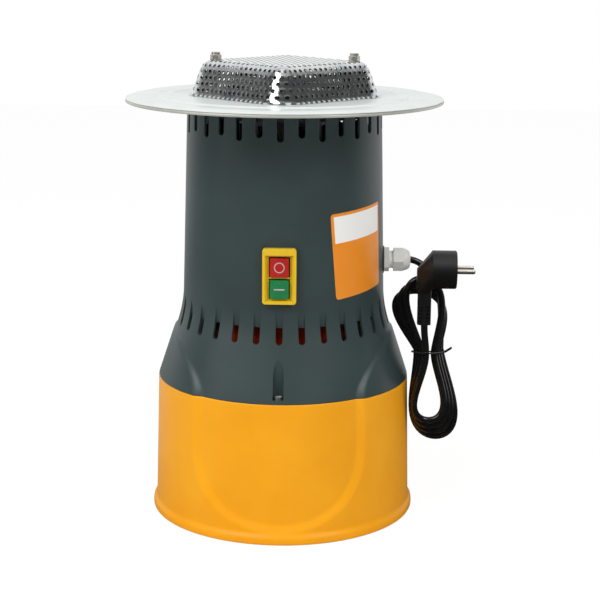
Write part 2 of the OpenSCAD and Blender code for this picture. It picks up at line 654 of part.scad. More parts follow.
module motor_bolts() color("#C9CCCC") for (s = [-1, 1]) translate([s * bolt_at, s * bolt_at, 0]) {
    translate([0, 0, z_stator - 8]) cylinder(r = 2.5, h = stator_h + 16);
    translate([0, 0, z_stator - 12]) hex_nut(8, 4, 0.01);
    translate([0, 0, z_cup + 8]) hex_nut(8, 4, 0.01);
}
module brush_holders() color("#6A4A2A") for (s = [0, 180]) rotate(s) difference() {
    translate([22, -7, brush_z - 6]) cube([30, 14, 12]);
    translate([21, -3.5, brush_z - 4]) cube([28, 7, 8]);
}
module carbon_brushes() color("#2B2B2B") for (s = [0, 180]) rotate(s) difference() {
    translate([15, -3.5, brush_z - 4]) cube([20, 7, 8]);
    translate([0, 0, brush_z - 10]) cylinder(r = comm_r + gap, h = 20);
}
module bearing_outer_rings() color("#C4C8C8") {
    translate([0, 0, z_bearing]) ring(bearing_r - 4, bearing_r, bearing_w);
    translate([0, 0, z_rear + 4]) ring(bearing_r - 5, bearing_r - 1, bearing_w - 1);
}
module bearing_inner_rings() color("#C4C8C8") {
    translate([0, 0, z_bearing]) ring(shaft_r, bearing_r - 4 - gap, bearing_w);
    translate([0, 0, z_rear + 4]) ring(rear_r, bearing_r - 5 - gap, bearing_w - 1);
}
module shaft_seal() color("#262626") translate([0, 0, zt - top_wall])
    ring(shaft_r + gap, 13.5, top_wall + sheet);
module shaft() color("#C4C8C8") {
    translate([0, 0, z_rear + 2]) cylinder(r = rear_r, h = 12);
    translate([0, 0, z_rear + 13]) cylinder(r = shaft_r, h = blade_z - z_rear - 17);
    translate([0, 0, blade_z - 4.1]) cylinder(r = shaft_r - 1, h = 17);
}
module armature_core() color("#6E7476") translate([0, 0, z_stator + 2]) difference() {
    cylinder(r = armature_r, h = stator_h - 4);
    translate([0, 0, -1]) cylinder(r = shaft_r, h = stator_h);
    for (i = [0:11]) rotate(i * 30) translate([armature_r - 9, -1.6, -1]) cube([20, 3.2, stator_h]);
}
module armature_coils() color("#A8562A") difference() {
    union() {
        translate([0, 0, z_stator - 5]) cylinder(r1 = 17, r2 = armature_r - 3, h = 7);
        translate([0, 0, z_cup - 2]) cylinder(r1 = armature_r - 3, r2 = 17, h = 9);
        for (i = [0:11]) rotate(i * 30) translate([armature_r - 9, -1.6, z_stator + 1])
            cube([7, 3.2, stator_h - 2]);
    }
    translate([0, 0, z_stator - 20]) cylinder(r = shaft_r, h = stator_h + 60);
}
module commutator() color("#B87333") translate([0, 0, z_rear + 18]) difference() {
    cylinder(r = comm_r, h = 19);
    translate([0, 0, -1]) cylinder(r = shaft_r, h = 30);
    for (i = [0:23]) rotate(i * 15) translate([comm_r - 1, -0.3, -1]) cube([4, 0.6, 22]);
}
module cooling_fan() color("#30383A") translate([0, 0, z_cup + 22]) {
    difference() {
        union() {
            cylinder(r = 38, h = 2);
            cylinder(r = 11, h = 9);
            for (i = [0:9]) rotate(i * 36) translate([10, -1, 1]) cube([28, 2, 10]);
        }
        translate([0, 0, -1]) cylinder(r = shaft_r, h = 20);
    }
}
module blade_spacer() color("#C4C8C8") translate([0, 0, blade_z - 4]) ring(shaft_r - 1, 9, 4);
module blade() color("#B9BCBC") translate([0, 0, blade_z]) difference() {
    intersection() {
        cylinder(r = blade_r, h = 3);
        translate([-blade_r, -13, 0]) cube([2 * blade_r, 26, 3]);
    }
    translate([0, 0, -1]) cylinder(r = shaft_r - 1, h = 5);
    for (a = [0, 180]) rotate(a) translate([18, -13, 3]) rotate([-25, 0, 0])
        translate([0, -10, 0]) cube([60, 16, 6]);
}
module blade_washer() color("#C9CCCC") translate([0, 0, blade_z + 3]) ring(shaft_r - 1, 10, 2);
module blade_nut() color("#C9CCCC") translate([0, 0, blade_z + 5]) hex_nut(16, 8, shaft_r - 1);

hopper();
funnel();
air_guide();
gate_guide();
feed_gate();
feed_tube();
motor_housing();
housing_screws();
flange_plate();
flange_screws();
screen();
screen_studs();
stud_nuts();
clamp_nuts();
lock_nuts();
switch_bezel();
switch_body();
stop_button();
start_button();
gland_body();
gland_locknut();
gland_cap();
gland_seal();
cord_lead();
cord_hank();
cord_tail();
cord_tie();
plug_body();
plug_pins();
stator_core();
field_coils();
drive_bracket();
rear_bracket();
motor_bolts();
brush_holders();
carbon_brushes();
bearing_outer_rings();
bearing_inner_rings();
shaft_seal();
shaft();
armature_core();
armature_coils();
commutator();
cooling_fan();
blade_spacer();
blade();
blade_washer();
blade_nut();
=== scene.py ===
"""Looks of the grain crusher head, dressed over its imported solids. Metres, +Z up, front at -Y."""
import json
from math import cos, pi, radians, sin, sqrt

import bmesh
import bpy
import numpy as np
from mathutils import Matrix, Vector


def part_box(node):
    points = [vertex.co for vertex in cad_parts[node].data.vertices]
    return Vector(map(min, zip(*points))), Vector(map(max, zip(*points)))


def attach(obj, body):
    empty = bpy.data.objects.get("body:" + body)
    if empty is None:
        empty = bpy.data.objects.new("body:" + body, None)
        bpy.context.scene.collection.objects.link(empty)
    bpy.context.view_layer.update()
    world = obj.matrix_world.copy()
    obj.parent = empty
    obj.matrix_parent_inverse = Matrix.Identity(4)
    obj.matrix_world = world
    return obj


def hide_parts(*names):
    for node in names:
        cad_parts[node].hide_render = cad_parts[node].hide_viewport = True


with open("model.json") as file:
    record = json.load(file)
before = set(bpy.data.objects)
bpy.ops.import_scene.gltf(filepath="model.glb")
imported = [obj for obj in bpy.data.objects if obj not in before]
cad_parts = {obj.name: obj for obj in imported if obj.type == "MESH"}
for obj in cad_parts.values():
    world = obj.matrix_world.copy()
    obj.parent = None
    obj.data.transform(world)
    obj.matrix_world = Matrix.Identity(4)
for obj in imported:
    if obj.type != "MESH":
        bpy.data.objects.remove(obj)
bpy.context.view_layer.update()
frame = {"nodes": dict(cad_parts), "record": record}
nodes = frame["nodes"]
scene = bpy.context.scene


# Hopper. It stands mouth down, as the photo shows it. Injection moulded polypropylene, with a U-shaped
# panel sunk into its front and its back, a rolled rim, and a spigot inside the seam that the housing laps.
def linear(code):
    """An sRGB hex colour, as the linear colour that a shader takes."""
    parts = [int(code[i:i + 2], 16) / 255 for i in (1, 3, 5)]
    return (*[c / 12.92 if c <= 0.04045 else ((c + 0.055) / 1.055) ** 2.4 for c in parts], 1.0)


def add(tree, kind, feeds=(), **settings):
    """One node with its settings. Each input takes a value, or a link from another node's output."""
    made = tree.nodes.new(kind)
    for name, value in settings.items():
        setattr(made, name, value)
    for name, value in dict(feeds).items():
        if isinstance(value, bpy.types.NodeSocket):
            tree.links.new(value, made.inputs[name])
        else:
            made.inputs[name].default_value = value
    return made


def new_finish(name):
    """An empty material: itself, its tree, its surface shader, and the place on the piece in metres."""
    made = bpy.data.materials.new(name)
    made.use_nodes = True
    tree = made.node_tree
    tree.nodes.clear()
    skin = add(tree, "ShaderNodeBsdfPrincipled")
    add(tree, "ShaderNodeOutputMaterial", {"Surface": skin.outputs[0]})
    return made, tree, skin, add(tree, "ShaderNodeTexCoord").outputs["Object"]


def shades(tree, skin, fac, *colours):
    """Runs a 0 to 1 pattern through evenly spaced colours into the skin's base colour."""
    ramp = add(tree, "ShaderNodeValToRGB", {"Fac": fac})
    stops = ramp.color_ramp.elements
    for _ in colours[2:]:
        stops.new(0.5)
    for i, code in enumerate(colours):
        stops[i].position = 0.3 + 0.4 * i / (len(colours) - 1)
        stops[i].color = linear(code)
    tree.links.new(ramp.outputs["Color"], skin.inputs["Base Color"])


def mottled(name, size, colours, rough, detail=3.0, grain=None, by_grain=False, **more):
    """A material whose colours drift over size metres, or over three sizes along X, Y and Z. Its roughness is
    one number, or a range that follows the drift or the grain. The grain is a bump: its size, its detail,
    its strength and its depth. More holds the shader's other inputs, with _ for a space."""
    made, tree, skin, place = new_finish(name)
    along = place
    if isinstance(size, tuple):
        along = add(tree, "ShaderNodeMapping", {"Vector": place, "Scale": [1 / s for s in size]}).outputs[0]
        size = 1
    drift = add(tree, "ShaderNodeTexNoise", {"Vector": along, "Scale": 1 / size, "Detail": detail})
    shades(tree, skin, drift.outputs["Fac"], *colours)
    if grain:
        size, detail, strength, depth = grain
        fine = add(tree, "ShaderNodeTexNoise", {"Vector": place, "Scale": 1 / size, "Detail": detail})
        bump = add(tree, "ShaderNodeBump", {"Height": fine.outputs["Fac"], "Strength": strength,
                                            "Distance": depth})
        tree.links.new(bump.outputs["Normal"], skin.inputs["Normal"])
    if isinstance(rough, tuple):
        source = fine if by_grain else drift
        span = add(tree, "ShaderNodeMapRange", {"Value": source.outputs["Fac"], "To Min": rough[0],
                                                "To Max": rough[1]})
        tree.links.new(span.outputs["Result"], skin.inputs["Roughness"])
    else:
        skin.inputs["Roughness"].default_value = rough
    for key, value in more.items():
        skin.inputs[key.replace("_", " ")].default_value = value
    return made, tree, skin, place


def overlaid(tree, skin, share, code):
    """Lays a colour over the skin's base colour, by a share of 0 to 1."""
    under = skin.inputs["Base Color"].links[0].from_socket
    both = add(tree, "ShaderNodeMix", {"Factor": share, "A": under, "B": linear(code)}, data_type="RGBA")
    tree.links.new(both.outputs[2], skin.inputs["Base Color"])


def shade(obj, angle):
    """Shades a mesh piece smooth, but for edges sharper than the angle in degrees."""
    obj.data.shade_smooth()
    obj.data.set_sharp_from_angle(angle=radians(angle))


def settle(obj, body, angle=35):
    """Shades a finished piece, and gives it its body."""
    shade(obj, angle)
    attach(obj, body)


def loose(name, verts, faces):
    """A new mesh object at the origin, from points in metres and faces."""
    mesh = bpy.data.meshes.new(name)
    mesh.from_pydata([tuple(v) for v in verts], [], [tuple(int(i) for i in f) for f in faces])
    obj = bpy.data.objects.new(name, mesh)
    scene.collection.objects.link(obj)
    return obj


def prism(name, outline, a, b, axis="y"):
    """A closed prism: an outline in mm across an axis, from a to b along it."""
    n = len(outline)
    order = {"x": (2, 0, 1), "y": (0, 2, 1), "z": (0, 1, 2)}[axis]
    verts = [tuple(0.001 * (*p, d)[k] for k in order) for d in (a, b) for p in outline]
    faces = [list(range(n))[::-1], [n + i for i in range(n)]]
    faces += [(i, (i + 1) % n, n + (i + 1) % n, n + i) for i in range(n)]
    obj = loose(name, verts, faces)
    made = bmesh.new()
    made.from_mesh(obj.data)
    bmesh.ops.recalc_face_normals(made, faces=made.faces)
    made.to_mesh(obj.data)
    made.free()
    return obj


def disc(x, y, r, n=32):
    """An outline of n points, round the point x, y."""
    return [(x + r * cos(2 * pi * i / n), y + r * sin(2 * pi * i / n)) for i in range(n)]


def oblong(half, low, high):
    """An outline with square corners: half its width, and its lower and upper end."""
    return [(-half, low), (half, low), (half, high), (-half, high)]


def keep(obj, step):
    """Keeps what a modifier makes of a piece as its plain mesh."""
    made = bpy.data.meshes.new_from_object(obj.evaluated_get(bpy.context.evaluated_depsgraph_get()))
    obj.modifiers.remove(step)
    obj.data = made


def shaped(obj, tools, operation="DIFFERENCE"):
    """Cuts tools out of a closed mesh, or joins them to it, and uses them up."""
    for tool in tools:
        step = obj.modifiers.new("step", "BOOLEAN")
        step.object, step.operation, step.solver = tool, operation, "EXACT"
        keep(obj, step)
        bpy.data.objects.remove(tool)


def turned(rows, turn):
    """Points in metres and quads of a closed wall swept round Z. Each row is a radius and a height in mm, one
    number or one for each angle of the turn in degrees."""
    radius, height = [np.array([v + 0 * turn for v in side]) * 0.001 for side in zip(*rows)]
    count, cols = radius.shape
    angles = np.radians(turn)
    points = np.stack([radius * np.sin(angles), -radius * np.cos(angles), height], 2).reshape(-1, 3)
    i, j = np.meshgrid(np.arange(count), np.arange(cols), indexing="ij")
    k, n = (i + 1) % count, (j + 1) % cols
    quads = np.stack([i * cols + j, i * cols + n, k * cols + n, k * cols + j], 2).reshape(-1, 4)
    return points, quads


def soft_ramp(t, e=0.2):
    """A ramp from 0 to 1 with both its corners rounded."""
    return np.select([t < -e, t < e, t < 1 - e, t < 1 + e],
                     [0 * t, (t + e) ** 2 / (4 * e), t, 1 - (1 + e - t) ** 2 / (4 * e)], 1.0)


SEAM = 141.0          # height of the seam, mm
SIDE_R = 129.6        # radius of the raised sides at the seam, mm
WALL = 2.6            # thickness of the mouldings, mm
PANEL_DEPTH = 4.0     # depth of the U panels, mm
SCREW_Y = 118.6       # the two housing screws, from the axis, mm
U_TOP = 95            # height at which a U panel's sides turn straight, mm
BREAK = 0.8           # height of the small bevel on the mouldings' edges, mm


def u_share(angle, z):
    """Where a point lies across the bevel of a U panel: 0 at the panel's edge, 1 at the raised side.
    The panel is 37.2 degrees wide to each side and reaches 76.4 mm down; the bevel adds 3.8 and 7.1."""
    off, drop = np.abs((angle + 90) % 180 - 90), np.maximum(U_TOP - z, 0)
    low, high = np.full(off.shape, -1.5), np.full(off.shape, 3.0)
    for _ in range(30):
        t = (low + high) / 2
        inside = (off / (37.2 + 3.8 * t)) ** 2.2 + (drop / (76.4 + 7.1 * t)) ** 2.2 < 1
        low, high = np.where(inside, low, t), np.where(inside, t, high)
    return t


def hopper_wall(angle, z):
    """Outer radius, with a faint sink mark where the plastic entered the mould at the panel's middle."""
    z = z + 0 * angle
    mark = 0.35 * np.exp(-(angle / 3.2) ** 2 - ((z - 55) / 17) ** 2)
    side = SIDE_R + 0.026 * (SEAM - z)
    return side - PANEL_DEPTH * (1 - soft_ramp(u_share(angle, z))) - mark


fine, coarse = np.arange(-50, 50, 0.5), np.arange(50, 130, 2.5)
turn = np.concatenate([fine, coarse, fine + 180, coarse + 180])
rim = [(131.2, 0.5), (132, 0.05), (135, 0.0), (135.9, 0.5), (136.4, 1.4), (136.5, 2.6), (136.5, 5.2),
       (136.2, 6.9), (135.4, 8.3), (134.3, 9.4), (133.5, 10.6)]
outside = [(hopper_wall(turn, z) - max(0, z - SEAM + BREAK) * 0.7, z)
           for z in [*np.arange(12, 100, 1.5), *np.arange(101, 139, 6), 139.2, 140.4, SEAM]]
spigot = [(120.6, SEAM), (120.6, 147), (118.1, 147), (118.1, 133)]
ledge = [(115, 103.5), (115, 100.5)]
neck, mouth = [[(hopper_wall(turn, z) - WALL, z) for z in heights]
               for heights in ([133, 120, 103.5], [100.5, *np.arange(94, 10, -7)])]
verts, faces = turned([*rim, *outside, *spigot, *neck, *ledge, *mouth], turn)

# Polypropylene from a lightly grained mould: even colour, soft wide highlights, faint flow marks 60 mm wide.
# The grain is drawn at 1.5 mm, coarser than the real 0.4 mm, so that it shows at this size.
yellow, *_ = mottled("moulded_polypropylene_yellow", 0.06, ("#EE9F0C", "#F1A310", "#F4A815"), (0.32, 0.42),
                     grain=(0.0015, 2.0, 0.1, 0.0004), IOR=1.49, Specular_IOR_Level=0.22, Sheen_Weight=0.06,
                     Sheen_Roughness=0.3)

hopper = loose("hopper_moulding", verts, faces)
shaped(hopper, [prism("boss", disc(0, y, 5.9), 117, 140.6, "z") for y in (-SCREW_Y, SCREW_Y)], "UNION")
shaped(hopper, [prism("way", disc(0, y, r, 48), low, 161, "z") for y in (-SCREW_Y, SCREW_Y)
                for r, low in [(8.7, SEAM), (2.2, 119)]])
hopper.data.materials.append(yellow)
settle(hopper, "body")
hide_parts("hopper")


# Funnel over the hopper, the steel gate that meters the grain, its guide and the tube up to the screen.
# The funnel and the air guide, which shows through the lower vents, are red moulded plastic; the gate is
# bare sheet.
def edged(name, finish, edge=0.0, angle=35):
    """A fine copy of a CAD node in its place: doubles merged, flats joined, sharp edges rounded by edge."""
    made = bmesh.new()
    made.from_mesh(nodes[name].data)
    bmesh.ops.remove_doubles(made, verts=made.verts, dist=2e-6)
    bmesh.ops.dissolve_limit(made, angle_limit=radians(1.0), verts=made.verts, edges=made.edges)
    if edge:
        sharp = [e for e in made.edges if len(e.link_faces) == 2 and e.calc_face_angle() > radians(angle)]
        bmesh.ops.bevel(made, geom=sharp, offset=edge, segments=2, profile=0.5, affect="EDGES",
                        clamp_overlap=True)
    bmesh.ops.triangulate(made, faces=[f for f in made.faces if len(f.verts) > 4])
    mesh = bpy.data.meshes.new(name + "_edged")
    made.to_mesh(mesh)
    made.free()
    mesh.materials.append(finish)
    obj = bpy.data.objects.new(name + "_fine", mesh)
    scene.collection.objects.link(obj)
    take_place(obj, name, angle)
    return obj


def take_place(obj, name, angle=35):
    """Puts a piece in the place of a CAD node, with its body, and keeps flats flat when shaded."""
    shade(obj, angle)
    even = obj.modifiers.new("even", "WEIGHTED_NORMAL")
    even.keep_sharp = True
    keep(obj, even)
    record = frame["record"]
    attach(obj, next(b for b, names in record["behaviour"]["bodies"].items() if name in names))
    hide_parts(name)


def dress(finish, *names):
    """Gives CAD nodes that stay as they are their finish."""
    for name in names:
        nodes[name].data.materials.clear()
        nodes[name].data.materials.append(finish)


# Red plastic, moulded and unpolished. The air guide is painted black towards its sides: painted shade, where
# the side vents look dark inside.
for name in ("funnel", "air_guide"):
    red, tree, skin, place = mottled("moulded_red_" + name, 0.03, ("#E23E14", "#EE4818"), 0.45, 4.0)
    if name == "air_guide":
        # Painted shade: the red turns black towards the guide's sides.
        across = add(tree, "ShaderNodeSeparateXYZ", {"Vector": place})
        aside = add(tree, "ShaderNodeMath", {0: across.outputs["X"]}, operation="ABSOLUTE")
        painted_side_shade = add(tree, "ShaderNodeMapRange", {"Value": aside.outputs[0], "From Min": 0.05,
                                                "From Max": 0.066})
        overlaid(tree, skin, painted_side_shade.outputs[0], "#1A1210")
    edged(name, red)

# Black-grey plastic of the inner mouldings: dull and even, with a little dust.
inner, *_ = mottled("moulded_plastic_charcoal", 0.02, ("#2C3436", "#343D3F"), 0.55, 4.0)
edged("gate_guide", inner, 0.0006)
dress(inner, "feed_tube", "cooling_fan")

# Bare rolled sheet: rolling lines along the sheet, 0.8 mm apart, and a dull sheen.
sheet, *_ = mottled("rolled_steel_sheet", (0.0008, 0.04, 0.04), ("#AEB2B2", "#C3C6C6"), (0.28, 0.42),
                    Metallic=1)
edged("feed_gate", sheet, 0.0004)
edged("blade", sheet, 0.0002)


# Motor inside the housing: laminated stator and armature, copper windings, die-cast brackets, brushes,
# bearings and shaft. Only glimpses show through the vents, so the solids stay and take their finishes.
for name, codes, metal, rough, size, parts in [
        ("varnished_laminations", ("#646A6C", "#787E80"), 1.0, 0.5, 0.004, ("stator_core", "armature_core")),
        ("enamelled_copper_wire", ("#8E4720", "#A8562A"), 0.6, 0.35, 0.003,
         ("field_coils", "armature_coils", "commutator")),
        ("die_cast_aluminium", ("#A6AAAA", "#B6BABA"), 1.0, 0.5, 0.006, ("drive_bracket", "rear_bracket")),
        ("phenolic_moulding", ("#634524", "#70502E"), 0.0, 0.45, 0.004, ("brush_holders",)),
        ("pressed_carbon", ("#262626", "#303030"), 0.0, 0.7, 0.002, ("carbon_brushes",)),
        ("ground_bearing_steel", ("#BEC2C2", "#CBCFCF"), 1.0, 0.2, 0.003,
         ("bearing_outer_rings", "bearing_inner_rings", "shaft", "blade_spacer")),
        ("seal_rubber", ("#222222", "#2A2A2A"), 0.0, 0.75, 0.003, ("shaft_seal", "gland_seal"))]:
    made, *_ = mottled(name, size, codes, rough, Metallic=metal)
    dress(made, *parts)


# Motor housing: a tapered shell with a flared skirt, moulded in slate grey ABS. Thirty grooves break through
# as vents where the skirt turns out, thirty slots run under the top, and two saddles carry on the hopper's
# raised sides.
Z_TOP = 427.0                    # top of the housing, mm
R_TOP, TAPER = 98, 0.0262        # its radius, and how fast the body widens downwards
R_SEAM, FLARE = 125.6, 0.291     # radius at the seam, and how fast the skirt narrows upwards
HALF_BEND = 16                   # half the height of the bend between them, mm
ROOF = Z_TOP - 4                 # underside of the housing's roof, mm
Z_MEET = (R_SEAM - R_TOP + FLARE * SEAM - TAPER * Z_TOP) / (FLARE - TAPER)
GLAND_Z = 262                    # height of the cable gland, mm
VENT = 3.4                       # half the width of the vents, mm
POCKET, WELL = 5.3, 8.3          # radius of a screw's pocket, and of the post that holds the screw, mm


def body_line(z):
    """Radius of the body at a height."""
    return R_TOP + TAPER * (Z_TOP - z)


def shell_line(z):
    """Radius of the housing: the skirt's line, the body's line, and a smooth bend between them."""
    bend = body_line(z) + (FLARE - TAPER) * (Z_MEET + HALF_BEND - z) ** 2 / (4 * HALF_BEND)
    return np.select([z < Z_MEET - HALF_BEND, z > Z_MEET + HALF_BEND],
                     [R_SEAM - FLARE * (z - SEAM), body_line(z)], bend)


def housing_wall(angle, z):
    """Outer radius with the two raised saddles, which are bevelled all round.
    A saddle is 52.8 degrees wide to each side and 53 mm high; its bevel takes 3.8 and 4.5 of that."""
    z = z + 0 * angle
    off, up = np.abs(angle % 180 - 90), np.maximum(z - SEAM, 0)
    low, high = np.full(off.shape, -1.0), np.full(off.shape, 9.0)
    for _ in range(30):
        t = (low + high) / 2
        inside = (off / (52.8 - 3.8 * t)) ** 1.7 + (up / (53 - 4.5 * t)) ** 1.7 < 1
        low, high = np.where(inside, t, low), np.where(inside, high, t)
    bevel = PANEL_DEPTH * np.where(t < -0.2, 0, np.where(t < 0.2, (t + 0.2) ** 2 / 0.8, t))
    cap = np.maximum(SIDE_R - 0.329 * (z - SEAM) - shell_line(z), 0)
    # The lower of the two, with the corner where they meet rounded.
    rise = 0.5 * (bevel + cap - np.sqrt((bevel - cap) ** 2 + 0.36))
    return shell_line(z) + np.maximum(rise, 0)


turn = np.arange(0, 360, 0.75)
outside = [(housing_wall(turn, z) - max(0, SEAM + BREAK - z, z - Z_TOP + BREAK) * 0.7, z)
           for z in [SEAM, SEAM + BREAK, *np.arange(143, 201, 1.5), *np.arange(201, 238, 2),
                     *np.arange(240, 425, 8), Z_TOP - BREAK, Z_TOP]]
roof = [(14, Z_TOP), (14, ROOF), (89.9, ROOF), (89.9, 412), (92.4, 412), (92.4, ROOF), (R_TOP - WALL, ROOF)]
inside = [(shell_line(z + 0 * turn) - WALL, z)
          for z in [*np.arange(415, 240, -15), *np.arange(236, 200, -3), *np.arange(195, 142, -9), SEAM]]
verts, faces = turned([*outside, *roof, *inside], turn)


def ring_tree():
    """Geometry Nodes: turns one shape about Z, Count times from First, with a Finish."""
    tree = bpy.data.node_groups.new("turned_ring", "GeometryNodeTree")
    for name, kind in [("Shape", "Geometry"), ("Count", "Int"), ("First", "Float"), ("Finish", "Material")]:
        tree.interface.new_socket(name, in_out="INPUT", socket_type="NodeSocket" + kind)
    tree.interface.new_socket("Ring", in_out="OUTPUT", socket_type="NodeSocketGeometry")
    given = add(tree, "NodeGroupInput").outputs
    spots = add(tree, "GeometryNodeMeshLine", {"Count": given["Count"], "Offset": (0, 0, 0)})
    share = add(tree, "ShaderNodeMath", {0: 2 * pi, 1: given["Count"]}, operation="DIVIDE")
    order = add(tree, "GeometryNodeInputIndex")
    spin = add(tree, "ShaderNodeMath", {0: order.outputs[0], 1: share.outputs[0], 2: given["First"]},
               operation="MULTIPLY_ADD")
    about = add(tree, "ShaderNodeCombineXYZ", {"Z": spin.outputs[0]})
    copies = add(tree, "GeometryNodeInstanceOnPoints", {
        "Points": spots.outputs[0], "Instance": given["Shape"], "Rotation": about.outputs[0]})
    whole = add(tree, "GeometryNodeRealizeInstances", {"Geometry": copies.outputs[0]})
    done = add(tree, "GeometryNodeSetMaterial", {"Geometry": whole.outputs[0], "Material": given["Finish"]})
    add(tree, "NodeGroupOutput", {"Ring": done.outputs[0]})
    return tree


def through_tree(obj, tree, **values):
    """Runs a mesh object through a tree with these named inputs, and keeps the result as a plain mesh."""
    run = obj.modifiers.new(tree.name, "NODES")
    run.node_group = tree
    names = {s.name: s.identifier for s in tree.interface.items_tree if s.in_out == "INPUT"}
    for name, value in values.items():
        run[names[name]] = value
    obj.data.update()
    keep(obj, run)


def ladder(rings, sides):
    """Quads between rings of points that follow one another."""
    return [(i + j, i + (j + 1) % sides, i + sides + (j + 1) % sides, i + sides + j)
            for i in range(0, (rings - 1) * sides, sides) for j in range(sides)]


def slot_outline(half, low, high):
    """A slot with a round lower end: the centre of that end at low, and a square upper end."""
    foot = [(half * cos(a), low + half * sin(a)) for a in np.linspace(pi, 2 * pi, 13)]
    return [*foot, (half, high), (-half, high)]


# ABS from a spark-eroded mould: slate grey, with a fine even grain and a soft sheen. The grain is drawn at
# 1.2 mm, coarser than the real 0.3 mm, so that it shows at this size.
slate, *_ = mottled("moulded_abs_slate", 0.08, ("#2F3D3D", "#324141", "#364646"), (0.36, 0.46),
                    grain=(0.0012, 2.0, 0.15, 0.0003), by_grain=True, IOR=1.53)

ring = ring_tree()
housing = loose("housing_moulding", verts, faces)
pad_y = -1000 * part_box("switch_bezel")[1][1]
gland_x = 1000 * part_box("gland_body")[0][0] + 14
boss = prism("gland_boss", disc(0, GLAND_Z, 14, 48), 96, gland_x, "x")
pad = prism("switch_pad", oblong(16.5, 237.5, 292.5), -pad_y, -96)
# Round posts for the two housing screws, pressed in where they would come through the shell.
well_z, sides = (141.4, 150, 160, 170, 180, 187), 48
wells = []
for s in (1, -1):
    points = []
    for z in well_z:
        for a in np.arange(sides) * 2 * pi / sides:
            x, y = WELL * cos(a), -SCREW_Y * s + WELL * sin(a)
            k = min(1, (float(shell_line(np.array(z))) - 0.8) / sqrt(x * x + y * y))
            points.append((x * k * 0.001, y * k * 0.001, z * 0.001))
    foot, head = range(sides - 1, -1, -1), range(len(points) - sides, len(points))
    wells.append(loose("well", points, [*ladder(len(well_z), sides), foot, head]))
shaped(housing, [boss, pad, *wells], "UNION")
groove = prism("groove", slot_outline(VENT, Z_MEET - 16.8, Z_MEET + 23.2), -130, -(body_line(Z_MEET) + 0.1))
# The groove's floor leans out below the bend, so that the vent runs out into the skirt.
for v in groove.data.vertices:
    if v.co.y > -0.12:
        v.co.y += 0.075 * max(0, Z_MEET * 0.001 - v.co.z)
long_slot = prism("long_slot", slot_outline(VENT, Z_TOP - 30, Z_TOP - 6), -130, -90)
short_slot = prism("short_slot", slot_outline(VENT, Z_TOP - 26.2, Z_TOP - 6), -130, -90)
through_tree(groove, ring, Count=30, First=0.0)
through_tree(long_slot, ring, Count=15, First=0.0)
through_tree(short_slot, ring, Count=15, First=pi / 15)
arch = [(-POCKET, -30), *[(POCKET * cos(a), POCKET * sin(a)) for a in np.linspace(pi, 0, 25)], (POCKET, -30)]
pockets = [prism("pocket", [(s * x, s * (y - SCREW_Y)) for x, y in arch], 145, 205, "z") for s in (1, -1)]
gate_way = prism("gate_way", oblong(22.6, 233.4, 236.6), 88, 128)
switch_way = prism("switch_way", oblong(13.5, 240.5, 289.5), -130, -80)
gland_way = prism("gland_way", disc(0, GLAND_Z, 9.3), 60, 130, "x")
shaped(housing, [groove, long_slot, short_slot, *pockets, gate_way, switch_way, gland_way])
housing.data.materials.clear()
housing.data.materials.append(slate)
settle(housing, "body", 32)
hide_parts("motor_housing")


# Screws in the two pockets over the seam, and the screws, studs and nuts of the flange and the screen.
# Zinc-plated steel: bright, a little warm, with slightly rounded corners.
zinc, *_ = mottled("zinc_plated_steel", 0.003, ("#CCC8BE", "#DAD6CC"), (0.34, 0.44), Metallic=1)
for name in ["housing_screws", "flange_screws", "screen_studs", "stud_nuts", "clamp_nuts", "lock_nuts"]:
    edged(name, zinc, 0.0003)
dress(zinc, "motor_bolts", "blade_washer", "blade_nut")


# Flange plate: spun galvanised sheet that sits on the barrel, with two pressed rings and a turned-down rim.
# It is clamped between the housing and the screen.
FLANGE = 1.5          # thickness of the flange's sheet, mm


def flange_line(r):
    """Height of the sheet's underside over the housing: a raised ring, a step, and the slope to the rim."""
    up = soft_ramp((r - 112) / 2.5, 0.25) - soft_ramp((r - 123.5) / 2, 0.25)
    return 1.3 * up + 0.7 * soft_ramp((r - 130) / 1.2, 0.25) - 2.0 * np.clip((r - 150.5) / 9.5, 0, 1) ** 1.15


radii = np.unique(np.concatenate([[13.5], np.arange(20, 108, 8), np.arange(110, 134, 0.5),
                                  np.arange(134, 158.6, 1.2)]))
outline = [(r, Z_TOP + FLANGE + flange_line(r)) for r in radii]
# The hem: the sheet's edge, a fine seam under it, and the bead that the sheet is rolled into.
outline += [(r, Z_TOP + z) for r, z in [
    (159.2, 0.45), (159.75, 0.0), (159.8, -0.4), (159.1, -0.55), (159.1, -1.0), (159.8, -1.15),
    (160, -1.6), (160, -2.7), (159.8, -3.3), (159.2, -3.6), (158.6, -3.3), (158.4, -2.6)]]
outline += [(r, Z_TOP + flange_line(r)) for r in radii[::-1] if r < 157.6]
verts, faces = turned(outline[::-1], np.arange(0, 360, 1.25))

# Galvanised sheet: pale, a soft satin shine with spangles about 12 mm across and cloudy marks 50 mm wide. Its
# hem is painted a shade darker and warmer: painted shade, where the turned-down rim faces the dark front.
galvanised = []
for name, codes in [("galvanised_sheet", ("#DCE3E0", "#E6EBE9")), ("galvanised_hem", ("#C3C3BA", "#CDCDC5"))]:
    made, tree, skin, place = new_finish(name)
    spangle = add(tree, "ShaderNodeTexVoronoi", {"Vector": place, "Scale": 1 / 0.012})
    marks = add(tree, "ShaderNodeTexNoise", {"Vector": place, "Scale": 1 / 0.05, "Detail": 4.0})
    both = add(tree, "ShaderNodeMix", {
        "Factor": 0.75, "A": spangle.outputs["Color"], "B": marks.outputs["Color"]}, data_type="RGBA")
    tone = add(tree, "ShaderNodeRGBToBW", {"Color": both.outputs[2]})
    shades(tree, skin, tone.outputs[0], *codes)
    rough = add(tree, "ShaderNodeMapRange", {"Value": tone.outputs[0], "To Min": 0.34, "To Max": 0.48})
    tree.links.new(rough.outputs["Result"], skin.inputs["Roughness"])
    skin.inputs["Metallic"].default_value = 0.4
    galvanised.append(made)
